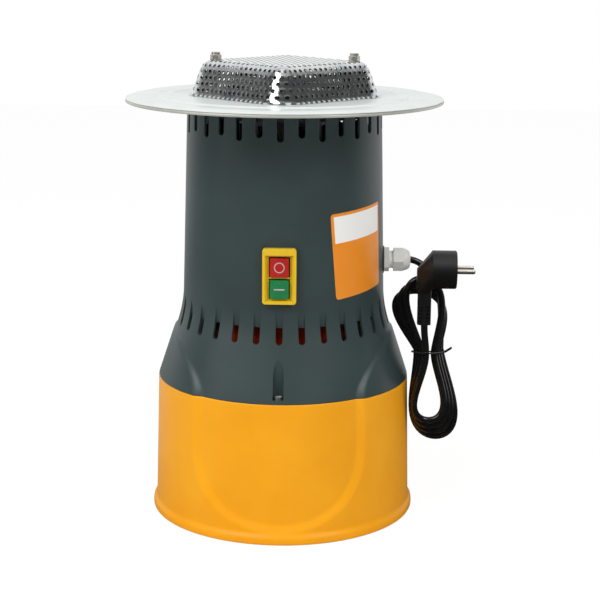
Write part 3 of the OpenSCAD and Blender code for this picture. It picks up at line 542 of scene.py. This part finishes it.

# The screen's inner side and the flange's middle under the screen are painted dark grey: painted shade for
# the dark inside of the screen.
inner_painted_shade, *_ = mottled("inner_sheet_painted_shade", 0.01, ("#2F3436", "#3B4143"), 0.6)

flange = loose("flange_sheet", verts, faces)
# Holes for the feed tube, the two studs and the four screws.
holes = [(0, 70, 18), (69.5, 0, 3), (-69.5, 0, 3)]
holes += [(62 * cos(a), 62 * sin(a), 2.2) for a in np.radians([45, 135, 225, 315])]
shaped(flange, [prism("hole", disc(x, y, r), Z_TOP - 9, Z_TOP + 9, "z") for x, y, r in holes])
for finish in (galvanised[0], inner_painted_shade, galvanised[1]):
    flange.data.materials.append(finish)
# Top faces under the screen take the inner painted shade, and the hem's faces the hem's painted shade.
for p in flange.data.polygons:
    r = p.center.xy.length
    p.material_index = 1 if r < 0.066 and p.normal.z > 0.5 else 2 if r > 0.1588 and p.normal.z < 0.7 else 0
settle(flange, "body", 40)
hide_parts("flange_plate")


# Screen: a perforated sheet pressed into a square pan with its corners at the sides, front and back.
# Bright tinned steel; each hole's edge is thrown up a little by the punch. Two studs and lock nuts hold it.
def punched_cell(w, h, hole=True):
    """One cell of the sheet in mm, w by h: a round hole of 12 sides with a raised lip, or plain."""
    edge = [(w / 2, 0), (w / 2, h / 4), (w / 2, h / 2), (0, h / 2), (-w / 2, h / 2), (-w / 2, h / 4),
            (-w / 2, 0), (-w / 2, -h / 4), (-w / 2, -h / 2), (0, -h / 2), (w / 2, -h / 2), (w / 2, -h / 4)]
    rings = [[(r * cos(pi * i / 6), r * sin(pi * i / 6), z) for i in range(12)]
             for r, z in ([(1.85, 0.04), (2.4, 0.0)] if hole else [(0.9, 0.0), (2.4, 0.0)])]
    verts = [v for ring in rings for v in ring] + [(x, y, 0.0) for x, y in edge]
    faces = [(k * 12 + i, (k + 1) * 12 + i, (k + 1) * 12 + (i + 1) % 12, k * 12 + (i + 1) % 12)
             for k in (0, 1) for i in range(12)]
    return verts, faces if hole else faces + [tuple(range(12))]


def sheet_tree():
    """Geometry Nodes: a punched or plain cell on each point of a sheet, joined to one mesh with a Finish."""
    tree = bpy.data.node_groups.new("punched_sheet", "GeometryNodeTree")
    for name, kind in [("Points", "Geometry"), ("Punched Cell", "Object"), ("Plain Cell", "Object"),
                       ("Join Within", "Float"), ("Finish", "Material")]:
        tree.interface.new_socket(name, in_out="INPUT", socket_type="NodeSocket" + kind)
    tree.interface.new_socket("Sheet", in_out="OUTPUT", socket_type="NodeSocketGeometry")
    given = add(tree, "NodeGroupInput").outputs
    cells = [add(tree, "GeometryNodeObjectInfo", {"Object": given[n]})
             for n in ("Plain Cell", "Punched Cell")]
    kinds = add(tree, "GeometryNodeGeometryToInstance")
    for c in cells:
        tree.links.new(c.outputs["Geometry"], kinds.inputs[0])
    which = add(tree, "GeometryNodeInputNamedAttribute", {"Name": "plain"}, data_type="INT")
    copies = add(tree, "GeometryNodeInstanceOnPoints", {
        "Points": given["Points"], "Instance": kinds.outputs[0], "Pick Instance": True,
        "Instance Index": which.outputs[0]})
    whole = add(tree, "GeometryNodeRealizeInstances", {"Geometry": copies.outputs[0]})
    joined = add(tree, "GeometryNodeMergeByDistance", {"Geometry": whole.outputs[0],
                                                       "Distance": given["Join Within"]})
    done = add(tree, "GeometryNodeSetMaterial", {"Geometry": joined.outputs[0], "Material": given["Finish"]})
    add(tree, "NodeGroupOutput", {"Sheet": done.outputs[0]})
    return tree


# Tinned sheet: bright, and a little wavy from the press, in waves of about 12 mm.
tinned, *_ = mottled("pressed_tinned_sheet", 0.012, ("#BCC2C4", "#CFD3D3", "#DFE2E0"), (0.07, 0.15), 2.0,
                     (0.012, 2.0, 0.12, 0.0015), Metallic=1)

FLAT = 53.0                # half the flat top, mm
ARM = 50.0                 # half the straight part of a side, mm
CORNER = 22.0              # how much of the wall's strip goes round a corner, mm
SIDE = 2 * ARM + CORNER    # one side of the strip with its corner, mm
RISE = 35.5                # height of the flat top over the flange, mm
# The wall's profile, out from the flat top's edge and up from the flange, and the way down along it.
fall = np.array([(0, RISE), (3, 34.8), (6.1, 33.2), (9, 30.5), (11.4, 26.7), (16.2, 13.35), (20.2, 2.2),
                 (21.3, 0.7), (24.2, 0.55)])
steps = np.concatenate([[0], np.cumsum(np.linalg.norm(np.diff(fall, axis=0), axis=1))])


def pressed(run, down, lift):
    """A point of the wall's strip, by its run round the pan and its way down, lifted off the sheet."""
    out, up = (np.interp(down, steps, fall[:, i]) for i in (0, 1))
    ahead, behind = np.minimum(down + 1.2, steps[-1]), np.maximum(down - 1.2, 0)
    slope = [np.interp(ahead, steps, fall[:, i]) - np.interp(behind, steps, fall[:, i]) for i in (0, 1)]
    size = np.hypot(*slope)
    side, along = np.floor(run / SIDE), run % SIDE
    bend = np.clip((along - 2 * ARM) / CORNER, 0, 1) * pi / 2
    corner = FLAT - ARM + out + lift * -slope[1] / size
    x = np.minimum(along, 2 * ARM) - ARM + corner * np.sin(bend)
    y = -(ARM + corner * np.cos(bend))
    turn = side * pi / 2
    return np.stack([x * np.cos(turn) - y * np.sin(turn), x * np.sin(turn) + y * np.cos(turn),
                     up + lift * slope[0] / size], 1)


def punched(name, w, h, spots, plain):
    """Cells of w by h at these spots of a flat sheet, joined to one mesh."""
    cells = [loose(name + "_cell", *punched_cell(w, h, hole)) for hole in (True, False)]
    base = loose(name, [(x, y, 0) for x, y in spots], [])
    base.data.attributes.new("plain", "INT", "POINT").data.foreach_set("value", np.array(plain, np.int32))
    through_tree(base, punching, **{"Punched Cell": cells[0], "Plain Cell": cells[1], "Join Within": 0.01,
                                    "Finish": tinned})
    for c in cells:
        bpy.data.objects.remove(c)
    points = np.zeros(len(base.data.vertices) * 3)
    base.data.vertices.foreach_get("co", points)
    faces = [tuple(p.vertices) for p in base.data.polygons]
    bpy.data.objects.remove(base)
    return points.reshape(-1, 3), faces


def thickened(obj, thickness, inner=0):
    """Gives an open sheet its thickness, inwards, and keeps the result as a plain mesh.
    Its inner side takes the material that comes this many slots after the outer one's."""
    thick = obj.modifiers.new("sheet", "SOLIDIFY")
    thick.thickness, thick.offset, thick.material_offset = thickness, -1.0, inner
    keep(obj, thick)


punching = sheet_tree()
# The wall: a strip of seven rows of cells, each offset by half a cell. The top row is plain at the corners.
cols, rows = 72, 7
w, h = 4 * SIDE / cols, steps[-1] / rows
spots = [((i + 0.5 * (j % 2) + 0.5) * w, (j + 0.5) * h) for j in range(rows) for i in range(cols)]
plain = [int(k < cols and spot[0] % SIDE > 2 * ARM) for k, spot in enumerate(spots)]
flat, wall_faces = punched("screen_wall", w, h, spots, plain)
wall = pressed(flat[:, 0] % (4 * SIDE), np.clip(flat[:, 1], 0, steps[-1]), flat[:, 2])
# The flat top: rows of fifteen and fourteen cells in turn. Plain half cells end the short rows.
cols, rows = 15, 17
w, h = 2 * FLAT / cols, 2 * FLAT / rows
spots = [((i - 7 + 0.5 * (j % 2)) * w, (j - 8) * h) for j in range(rows) for i in range(cols - j % 2)]
flat, top_faces = punched("screen_top", w, h, spots, [0] * len(spots))
top = flat + np.array([0, 0, RISE])
for s in (-1, 1):
    for j in range(1, rows, 2):
        n = len(top)
        x, y = s * FLAT, (j - 8) * h
        half = [(x, y - h / 2), (x - s * w / 2, y - h / 2), (x - s * w / 2, y + h / 2), (x, y + h / 2)]
        top = np.concatenate([top, [(*p, RISE) for p in half]])
        top_faces.append(tuple(n + i for i in (range(4) if s < 0 else range(3, -1, -1))))
x, y, z = np.concatenate([wall, top]).T
faces = wall_faces + [tuple(len(wall) + i for i in f) for f in top_faces]
c, s = cos(pi / 4), sin(pi / 4)
verts = np.stack([x * c - y * s, x * s + y * c, z + Z_TOP + FLANGE], 1)
screen = loose("screen_sheet", verts * 0.001, faces)
made = bmesh.new()
made.from_mesh(screen.data)
bmesh.ops.remove_doubles(made, verts=made.verts, dist=0.00002)
bmesh.ops.recalc_face_normals(made, faces=made.faces)
made.to_mesh(screen.data)
made.free()
for finish in (tinned, inner_painted_shade):
    screen.data.materials.append(finish)
# The screen's inner side takes the painted shade.
thickened(screen, 0.0009, 1)
settle(screen, "body", 50)
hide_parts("screen")


# Switch: a yellow plate with a sunken frame, a black body behind it, and two square buttons with a white
# ring on the stop and a white bar on the start. Glossy moulded plastic, snapped into the housing.
for name, codes, rough, part, edge in [
        ("glossy_abs_yellow", ("#DCB31A", "#E4BB20"), 0.3, "switch_bezel", 0.0007),
        ("glossy_abs_red", ("#AC1812", "#B61E17"), 0.28, "stop_button", 0.0006),
        ("glossy_abs_green", ("#1B7540", "#207F48"), 0.28, "start_button", 0.0006),
        ("matt_abs_black", ("#1D2020", "#242828"), 0.5, "switch_body", 0.0003)]:
    made, tree, skin, place = mottled(name, 0.012, codes, rough, grain=(0.0012, 1.0, 0.06, 0.0002))
    if "button" in part:
        # The button's guide and flange behind the plate are painted black: painted shade, so that the gap
        # round each button looks dark.
        depth = add(tree, "ShaderNodeSeparateXYZ", {"Vector": place})
        gap_painted_shade = add(tree, "ShaderNodeMath", {0: depth.outputs["Y"], 1: -0.001 * (pad_y + 1.6)},
                   operation="GREATER_THAN")
        overlaid(tree, skin, gap_painted_shade.outputs[0], "#121414")
    edged(part, made, edge)

# White ink, printed and slightly worn.
ink, *_ = mottled("printed_white_ink", 0.002, ("#A89E9D", "#B8B0AF"), 0.5)
for body, slot, shape in [("stop_button", "button_red", "ring"), ("start_button", "button_green", "bar")]:
    low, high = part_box(body)
    face, mid = low[1] * 1000, (low[2] + high[2]) * 500
    outer = disc(0, mid, 5.2, 64) if shape == "ring" else oblong(5.2, mid - 0.7, mid + 0.7)
    mark = prism(body + "_mark", outer, face - 0.12, face + 0.1)
    if shape == "ring":
        shaped(mark, [prism("eye", disc(0, mid, 4.25, 64), face - 1, face + 1)])
    mark.data.materials.append(ink)
    settle(mark, body)


# Cable gland: a pale grey nylon body screwed through the wall with a nut behind it, and a domed cap nut
# that squeezes a rubber seal on the cord. The nylon is even and a little waxy.
nylon, *_ = mottled("moulded_nylon_pale_grey", 0.01, ("#E6E6E0", "#EDEDE8"), 0.42, IOR=1.53)
edged("gland_body", nylon, 0.0004)
edged("gland_locknut", nylon, 0.0004)

low, high = [1000 * v[0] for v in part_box("gland_cap")]
line = [(3.6, high), (5.6, high), (7.2, high - 0.3), (8.7, high - 1.2), (9.9, high - 2.7), (10.7, high - 4.5),
        (11, high - 6), (12.6, high - 8.4), (12.6, low + 0.7), (11.9, low), (8.9, low), (8.9, high - 14),
        (3.6, high - 14)]
verts, faces = turned(line, np.arange(0, 360, 5.0))
cap = loose("gland_cap_fine", np.stack([verts[:, 2], verts[:, 0], verts[:, 1] + 0.001 * GLAND_Z], 1),
            faces[:, ::-1])
shaped(cap, [prism("six_flats", disc(0, GLAND_Z, 11 / cos(pi / 6), 6), low - 5, high + 5, "x")], "INTERSECT")
cap.data.materials.clear()
cap.data.materials.append(nylon)
take_place(cap, "gland_cap")


# Mains cord: black PVC lead, 7 mm, from the gland to a hank of three and a half loops tied at the waist, and
# its tail up to the plug. One spline on the same route as the solids.
WAIST = (150.5, 169.0)    # middle of the tied waist, across and up, mm
LAY = 7.5                 # from one loop to the next, towards the front, mm
TAIL = (146.6, -40.0)     # where the tail leaves the waist, across and to the front, mm


def smooth(t):
    """An S-shaped step from 0 to 1."""
    t = min(1.0, max(0.0, t))
    return t * t * (3 - 2 * t)


def hank_at(u):
    """A point of the hank, u loops along: down the right, round the bottom, up the left, over the top."""
    k = int(u)
    a = 2 * pi * (u - k)
    s, low = sin(a), sin(a) > 0
    reach = 94 - 8 * k if low else 62 + 8 * k
    wide = 13 - 2.6 * u + ((32 - k) * s ** 1.5 if low else (36 - 3 * k) * (-s) ** 1.2)
    lean = (0.105 - 0.03 * k if low else 0.23 - 0.06 * k) * reach * s
    end = (-LAY * 4 - TAIL[1]) * smooth((u - 3.25) / 0.25) if u > 3.25 else 0
    return (WAIST[0] + wide * cos(a) + lean, -LAY * (k + smooth(a / radians(80))) - end, WAIST[1] - reach * s)


def through(route, n):
    """A smooth line through a route's points, n steps between each two."""
    p, line = [np.array(q, float) for q in route], []
    for i in range(len(p) - 1):
        a, b, c, d = p[max(i - 1, 0)], p[i], p[i + 1], p[min(i + 2, len(p) - 1)]
        for t in np.arange(n) / n:
            line.append(0.5 * (2 * b + (c - a) * t + (2 * a - 5 * b + 4 * c - d) * t * t
                               + (3 * b - a - 3 * c + d) * t ** 3))
    return [*line, p[-1]]


X0 = 1000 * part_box("gland_cap")[1][0]
lead = through([(X0 - 20, 0, GLAND_Z), (X0 - 8, 0, GLAND_Z), (X0, 0, GLAND_Z), (137, 0, 260), (144, 0, 255.5),
                (150.5, 0, 248.5), (156, 0, 239.5), (160, 0, 229), (162.5, 0, 217), (163.5, 0, 204),
                (163.5, 0, 187), (163.5, 0, WAIST[1])], 6)
tail = through([(*TAIL, WAIST[1]), (146.4, -40.4, 178), (145.4, -42, 187), (144.4, -43.6, 196),
                (144, -44, 205)], 6)
hank = [hank_at(min(i / 72, 3.49999)) for i in range(1, 72 * 7 // 2)]
line = np.array([*lead, *hank, *tail]) * 0.001

# Soft PVC sheath: black and glossy, a little scuffed.
pvc, *_ = mottled("cord_pvc_black", 0.006, ("#0D0D0D", "#151514"), (0.14, 0.22), 4.0)
curve = bpy.data.curves.new("mains_cord", "CURVE")
curve.dimensions, curve.bevel_depth, curve.bevel_resolution, curve.use_fill_caps = "3D", 0.0035, 4, True
spline = curve.splines.new("POLY")
spline.points.add(len(line) - 1)
spline.points.foreach_set("co", np.concatenate([line, np.ones((len(line), 1))], 1).ravel())
spline.use_smooth = True
curve.materials.append(pvc)
cord = bpy.data.objects.new("mains_cord", curve)
scene.collection.objects.link(cord)
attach(cord, "body")
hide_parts("cord_lead", "cord_hank", "cord_tail")


# Twist tie round the hank's waist: a black plastic-coated wire, its two ends twisted together at the right.
def tube(path, radius, sides=8):
    """A closed round tube along a path in mm, as points in metres and faces."""
    p = np.array(path, float)
    verts = []
    up = np.array([0, 0, 1.0])
    for i in range(len(p)):
        t = p[min(i + 1, len(p) - 1)] - p[max(i - 1, 0)]
        t /= np.linalg.norm(t)
        e = np.cross(up, t)
        if np.linalg.norm(e) < 0.2:
            e = np.cross((0, 1.0, 0), t)
        e /= np.linalg.norm(e)
        f = np.cross(t, e)
        verts += [p[i] + radius * (cos(a) * e + sin(a) * f) for a in np.arange(sides) * 2 * pi / sides]
    foot, head = range(sides - 1, -1, -1), range(len(verts) - sides, len(verts))
    return np.array(verts) * 0.001, [*ladder(len(p), sides), foot, head]


# The wire lies round the outermost strands at the waist.
strands = np.array([hank_at(u)[:2] for u in (0, 0.5, 1, 1.5, 2, 2.5, 3)] + [TAIL])
loop = []
for a in np.linspace(0.04 * pi, 1.97 * pi, 110):
    way = np.array((cos(a), sin(a)))
    x, y = strands[np.argmax(strands @ way)] + 5.0 * way
    loop.append((x, y, WAIST[1] - 0.22 * (y + 20) + 0.4 * sin(3 * a)))
x, y, z = loop[0]
ends = [[(x + 0.2 + 0.7 * t, y - 1 - 0.3 * t + 0.8 * cos(1.7 * t + lead_in),
          z + 0.55 * t + 0.8 * sin(1.7 * t + lead_in)) for t in np.linspace(0, 9, 37)] for lead_in in (0, pi)]
parts = [tube(loop, 0.8), *[tube(e, 0.7) for e in ends]]
verts = np.concatenate([p[0] for p in parts])
shift = np.cumsum([0, *[len(p[0]) for p in parts]])
faces = [tuple(k + i for i in f) for k, (_, fs) in zip(shift, parts) for f in fs]
# Coated wire: dull black, a little scuffed.
coated, *_ = mottled("tie_plastic_black", 0.003, ("#0B0B0B", "#141414"), 0.5)
tie = loose("twist_tie", verts, faces)
tie.data.validate()
tie.data.materials.append(coated)
settle(tie, "body", 60)
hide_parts("cord_tie")


# Plug: a moulded-on angled mains plug with ribbed strain relief and two round nickel-plated pins. Its PVC is
# black and dull, with a fine grain.
moulded, *_ = mottled("plug_pvc_black", 0.008, ("#080808", "#0E0E0E"), 0.46, 4.0,
                      (0.0012, 1.0, 0.12, 0.0003))
plug = edged("plug_body", moulded, 0.0008)

# Nickel plate: bright and a little warm, with fine drawing lines along the pins.
nickel, *_ = mottled("nickel_plated_brass", (0.03, 0.0006, 0.0006), ("#DDD6C8", "#EBE5DA"), 0.36, 2.0,
                     Metallic=1)
pins = edged("plug_pins", nickel, 0.0003)


# Blank sticker on the right of the switch: printed vinyl with rounded corners, orange with a white band, and
# nothing else on it. It follows the housing's curve.
def rounded(u, v, w, h, r):
    """Pulls the corners of a unit square, w by h mm, in to a radius of r mm."""
    x, y = u * w, v * h
    cx, cy = np.clip(x, r, w - r), np.clip(y, r, h - r)
    d = np.hypot(x - cx, y - cy)
    k = np.where(d > r, r / np.maximum(d, 1e-9), 1)
    return (cx + (x - cx) * k) / w, (cy + (y - cy) * k) / h


n = 49             # points each way
u, v = np.meshgrid(np.linspace(0, 1, n), np.linspace(0, 1, n))
ru, rv = rounded(u, v, 76, 84, 3.2)
# Its corners on the housing: degrees round from the front, and height in mm.
corner = {"tl": (28.7, 322.7), "tr": (71.3, 327.8), "bl": (32.4, 237.8), "br": (71.6, 243.8)}
bottom = [corner["bl"][i] * (1 - ru) + corner["br"][i] * ru for i in (0, 1)]
upper = [corner["tl"][i] * (1 - ru) + corner["tr"][i] * ru for i in (0, 1)]
angle, z = [bottom[i] * (1 - rv) + upper[i] * rv for i in (0, 1)]
r = shell_line(z) + 0.12
verts = np.stack([r * np.sin(np.radians(angle)), -r * np.cos(np.radians(angle)), z], 2).reshape(-1, 3) * 0.001
i, j = np.meshgrid(np.arange(n - 1), np.arange(n - 1), indexing="ij")
faces = np.stack([i * n + j, i * n + j + 1, (i + 1) * n + j + 1, (i + 1) * n + j], 2).reshape(-1, 4)

# Printed vinyl: flat even ink with a soft gloss, a little faded.
vinyl, tree, skin, place = new_finish("printed_vinyl_sticker")
at = add(tree, "ShaderNodeUVMap", uv_map="sticker")
split = add(tree, "ShaderNodeSeparateXYZ", {"Vector": at.outputs[0]})
inside = None
for axis, limit, rule in [("X", 0.045, "GREATER_THAN"), ("X", 0.962, "LESS_THAN"),
                          ("Y", 0.655, "GREATER_THAN"), ("Y", 0.965, "LESS_THAN")]:
    test = add(tree, "ShaderNodeMath", {0: split.outputs[axis], 1: limit}, operation=rule).outputs[0]
    if inside is not None:
        test = add(tree, "ShaderNodeMath", {0: inside, 1: test}, operation="MULTIPLY").outputs[0]
    inside = test
fade = add(tree, "ShaderNodeTexNoise", {"Vector": place, "Scale": 1 / 0.015, "Detail": 4.0})
orange = add(tree, "ShaderNodeMix", {
    "Factor": fade.outputs["Fac"], "A": linear("#EE8A18"), "B": linear("#F19324")}, data_type="RGBA")
band = add(tree, "ShaderNodeMix", {"Factor": inside, "A": orange.outputs[2], "B": linear("#F4F3EF")},
           data_type="RGBA")
tree.links.new(band.outputs[2], skin.inputs["Base Color"])
skin.inputs["Roughness"].default_value = 0.35
sticker = loose("blank_sticker", verts, faces)
layer = sticker.data.uv_layers.new(name="sticker")
flat = np.stack([ru.ravel(), rv.ravel()], 1)
loops = np.zeros(len(sticker.data.loops), np.int32)
sticker.data.loops.foreach_get("vertex_index", loops)
layer.data.foreach_set("uv", flat[loops].ravel().astype(np.float32))
sticker.data.materials.append(vinyl)
thickened(sticker, 0.0002)
settle(sticker, "body")


# Studio: a pale floor, white surroundings, a large soft light over the front left, a weaker one over the
# front right, and two faint ones at the left and above. Metal and gloss mirror a room that is white behind
# the object and on its ceiling, and dark behind the camera.
FLOOR_Z, FLOOR = -0.0004, 4
floor = loose("floor", [(-FLOOR, -FLOOR, FLOOR_Z), (FLOOR, -FLOOR, FLOOR_Z), (FLOOR, FLOOR, FLOOR_Z),
                        (-FLOOR, FLOOR, FLOOR_Z)], [(0, 1, 2, 3)])
# The floor is matt and takes the shadow, but looks white to the camera. Metal and gloss mirror it white far
# behind the object and on a patch at its left, and dark in front.
ground = bpy.data.materials.new("pale_floor")
ground.use_nodes = True
tree = ground.node_tree
tree.nodes.clear()
seen = add(tree, "ShaderNodeLightPath")
matt = add(tree, "ShaderNodeBsdfDiffuse", {"Color": linear("#F4F4F4")})
place = add(tree, "ShaderNodeTexCoord").outputs["Object"]
spread = add(tree, "ShaderNodeSeparateXYZ", {"Vector": place})
behind = add(tree, "ShaderNodeMath", {0: spread.outputs["X"], 1: 0.35, 2: spread.outputs["Y"]},
             operation="MULTIPLY_ADD")
far = add(tree, "ShaderNodeMapRange", {"Value": behind.outputs[0], "From Min": 0.45, "From Max": 1.2,
                                       "To Min": 0.05, "To Max": 0.8})
near = add(tree, "ShaderNodeVectorMath", {0: place, 1: (-0.55, 0.3, 0)}, operation="DISTANCE")
card = add(tree, "ShaderNodeMapRange", {"Value": near.outputs["Value"], "From Min": 0.25, "From Max": 0.6,
                                        "To Min": 0.6, "To Max": 0.0})
mirrored = add(tree, "ShaderNodeMath", {0: far.outputs[0], 1: card.outputs[0]}, operation="MAXIMUM")
strength = add(tree, "ShaderNodeMix", {"Factor": seen.outputs["Is Glossy Ray"], "A": 1.06,
                                       "B": mirrored.outputs[0]})
glow = add(tree, "ShaderNodeEmission", {"Color": (1, 1, 1, 1), "Strength": strength.outputs[0]})
share = add(tree, "ShaderNodeMath", {
    0: seen.outputs["Is Camera Ray"], 1: 0.88, 2: seen.outputs["Is Glossy Ray"]}, operation="MULTIPLY_ADD")
both = add(tree, "ShaderNodeMixShader", {0: share.outputs[0], 1: matt.outputs[0], 2: glow.outputs[0]})
# From below the floor is clear, so that the hopper's inside can be looked at.
back = add(tree, "ShaderNodeNewGeometry").outputs["Backfacing"]
glass = add(tree, "ShaderNodeBsdfTransparent").outputs[0]
under = add(tree, "ShaderNodeMixShader", {0: back, 1: both.outputs[0], 2: glass})
add(tree, "ShaderNodeOutputMaterial", {"Surface": under.outputs[0]})
floor.data.materials.append(ground)

world = bpy.data.worlds.new("studio")
scene.world = world
world.use_nodes = True
tree = world.node_tree
tree.nodes.clear()
seen = add(tree, "ShaderNodeLightPath")
clear = add(tree, "ShaderNodeMath", {
    0: seen.outputs["Is Camera Ray"], 1: seen.outputs["Is Transmission Ray"]}, operation="MAXIMUM")
towards = add(tree, "ShaderNodeTexCoord")
split = add(tree, "ShaderNodeSeparateXYZ", {"Vector": towards.outputs["Generated"]})
room = add(tree, "ShaderNodeMapRange", {"Value": split.outputs["Y"], "From Min": 0.1, "From Max": 0.5,
                                        "To Min": 0.09, "To Max": 1.0})
ceiling = add(tree, "ShaderNodeMapRange", {"Value": split.outputs["Z"], "From Min": 0.55, "From Max": 0.9,
                                           "To Min": 0.09, "To Max": 0.7})
around = add(tree, "ShaderNodeMath", {0: room.outputs[0], 1: ceiling.outputs[0]}, operation="MAXIMUM")
soft = add(tree, "ShaderNodeMix", {
    "Factor": seen.outputs["Is Glossy Ray"], "A": 0.42, "B": around.outputs[0]})
level = add(tree, "ShaderNodeMix", {"Factor": clear.outputs[0], "A": soft.outputs[0], "B": 1.0})
light = add(tree, "ShaderNodeBackground", {"Color": (1, 1, 1, 1), "Strength": level.outputs[0]})
add(tree, "ShaderNodeOutputWorld", {"Surface": light.outputs[0]})

# Lights: place, aim and size in metres, power in watts.
for name, spot, aim, size, power in [("key", (-1.15, -1.3, 2.0), (0, 0, 0.2), 1.4, 31.5),
                                     ("side", (-1.9, -0.9, 0.8), (0, 0, 0.2), 1.0, 3),
                                     ("fill", (1.3, -1.4, 1.85), (0, 0, 0.25), 1.0, 18),
                                     ("top", (0.1, -0.2, 2.4), (0, 0, 0.3), 1.4, 3)]:
    lamp = bpy.data.lights.new(name, "AREA")
    lamp.size, lamp.energy = size, power
    obj = bpy.data.objects.new(name, lamp)
    scene.collection.objects.link(obj)
    obj.location = spot
    obj.rotation_euler = (Vector(aim) - Vector(spot)).to_track_quat("-Z", "Y").to_euler()
    if name == "fill":
        # A flag keeps this light off the screen, so that its bright corner mirrors one light only.
        shaded = bpy.data.collections.new("shaded_from_fill")
        shaded.objects.link(screen)
        shaded.collection_objects[0].light_linking.link_state = "EXCLUDE"
        obj.light_linking.receiver_collection = shaded

# Camera, fitted to the photo: 1.69 m away, a little to the right, looking down 13 degrees. Its place and
# height are in metres, its angles in radians.
away, height, turned_by, pitch, yaw, roll = 1.5883, 0.5821, radians(2.3), 0.2257, 0.0107, 0.008
ahead = Vector((-sin(turned_by), cos(turned_by), 0))
right = Vector((cos(turned_by), sin(turned_by), 0))
f = ahead * cos(yaw) + right * sin(yaw)
r = right * cos(yaw) - ahead * sin(yaw)
look = f * cos(pitch) - Vector((0, 0, 1)) * sin(pitch)
up = Vector((0, 0, 1)) * cos(pitch) + f * sin(pitch)
side = r * cos(roll) + up * sin(roll)
up = up * cos(roll) - r * sin(roll)
camera = bpy.data.objects.new("camera", bpy.data.cameras.new("camera"))
scene.collection.objects.link(camera)
camera.data.lens, camera.data.sensor_width = 94.19, 36
camera.matrix_world = Matrix((side, up, -look)).transposed().to_4x4()
camera.location = -ahead * away + Vector((0, 0, height))
scene.camera = camera
scene.view_settings.view_transform = "Standard"
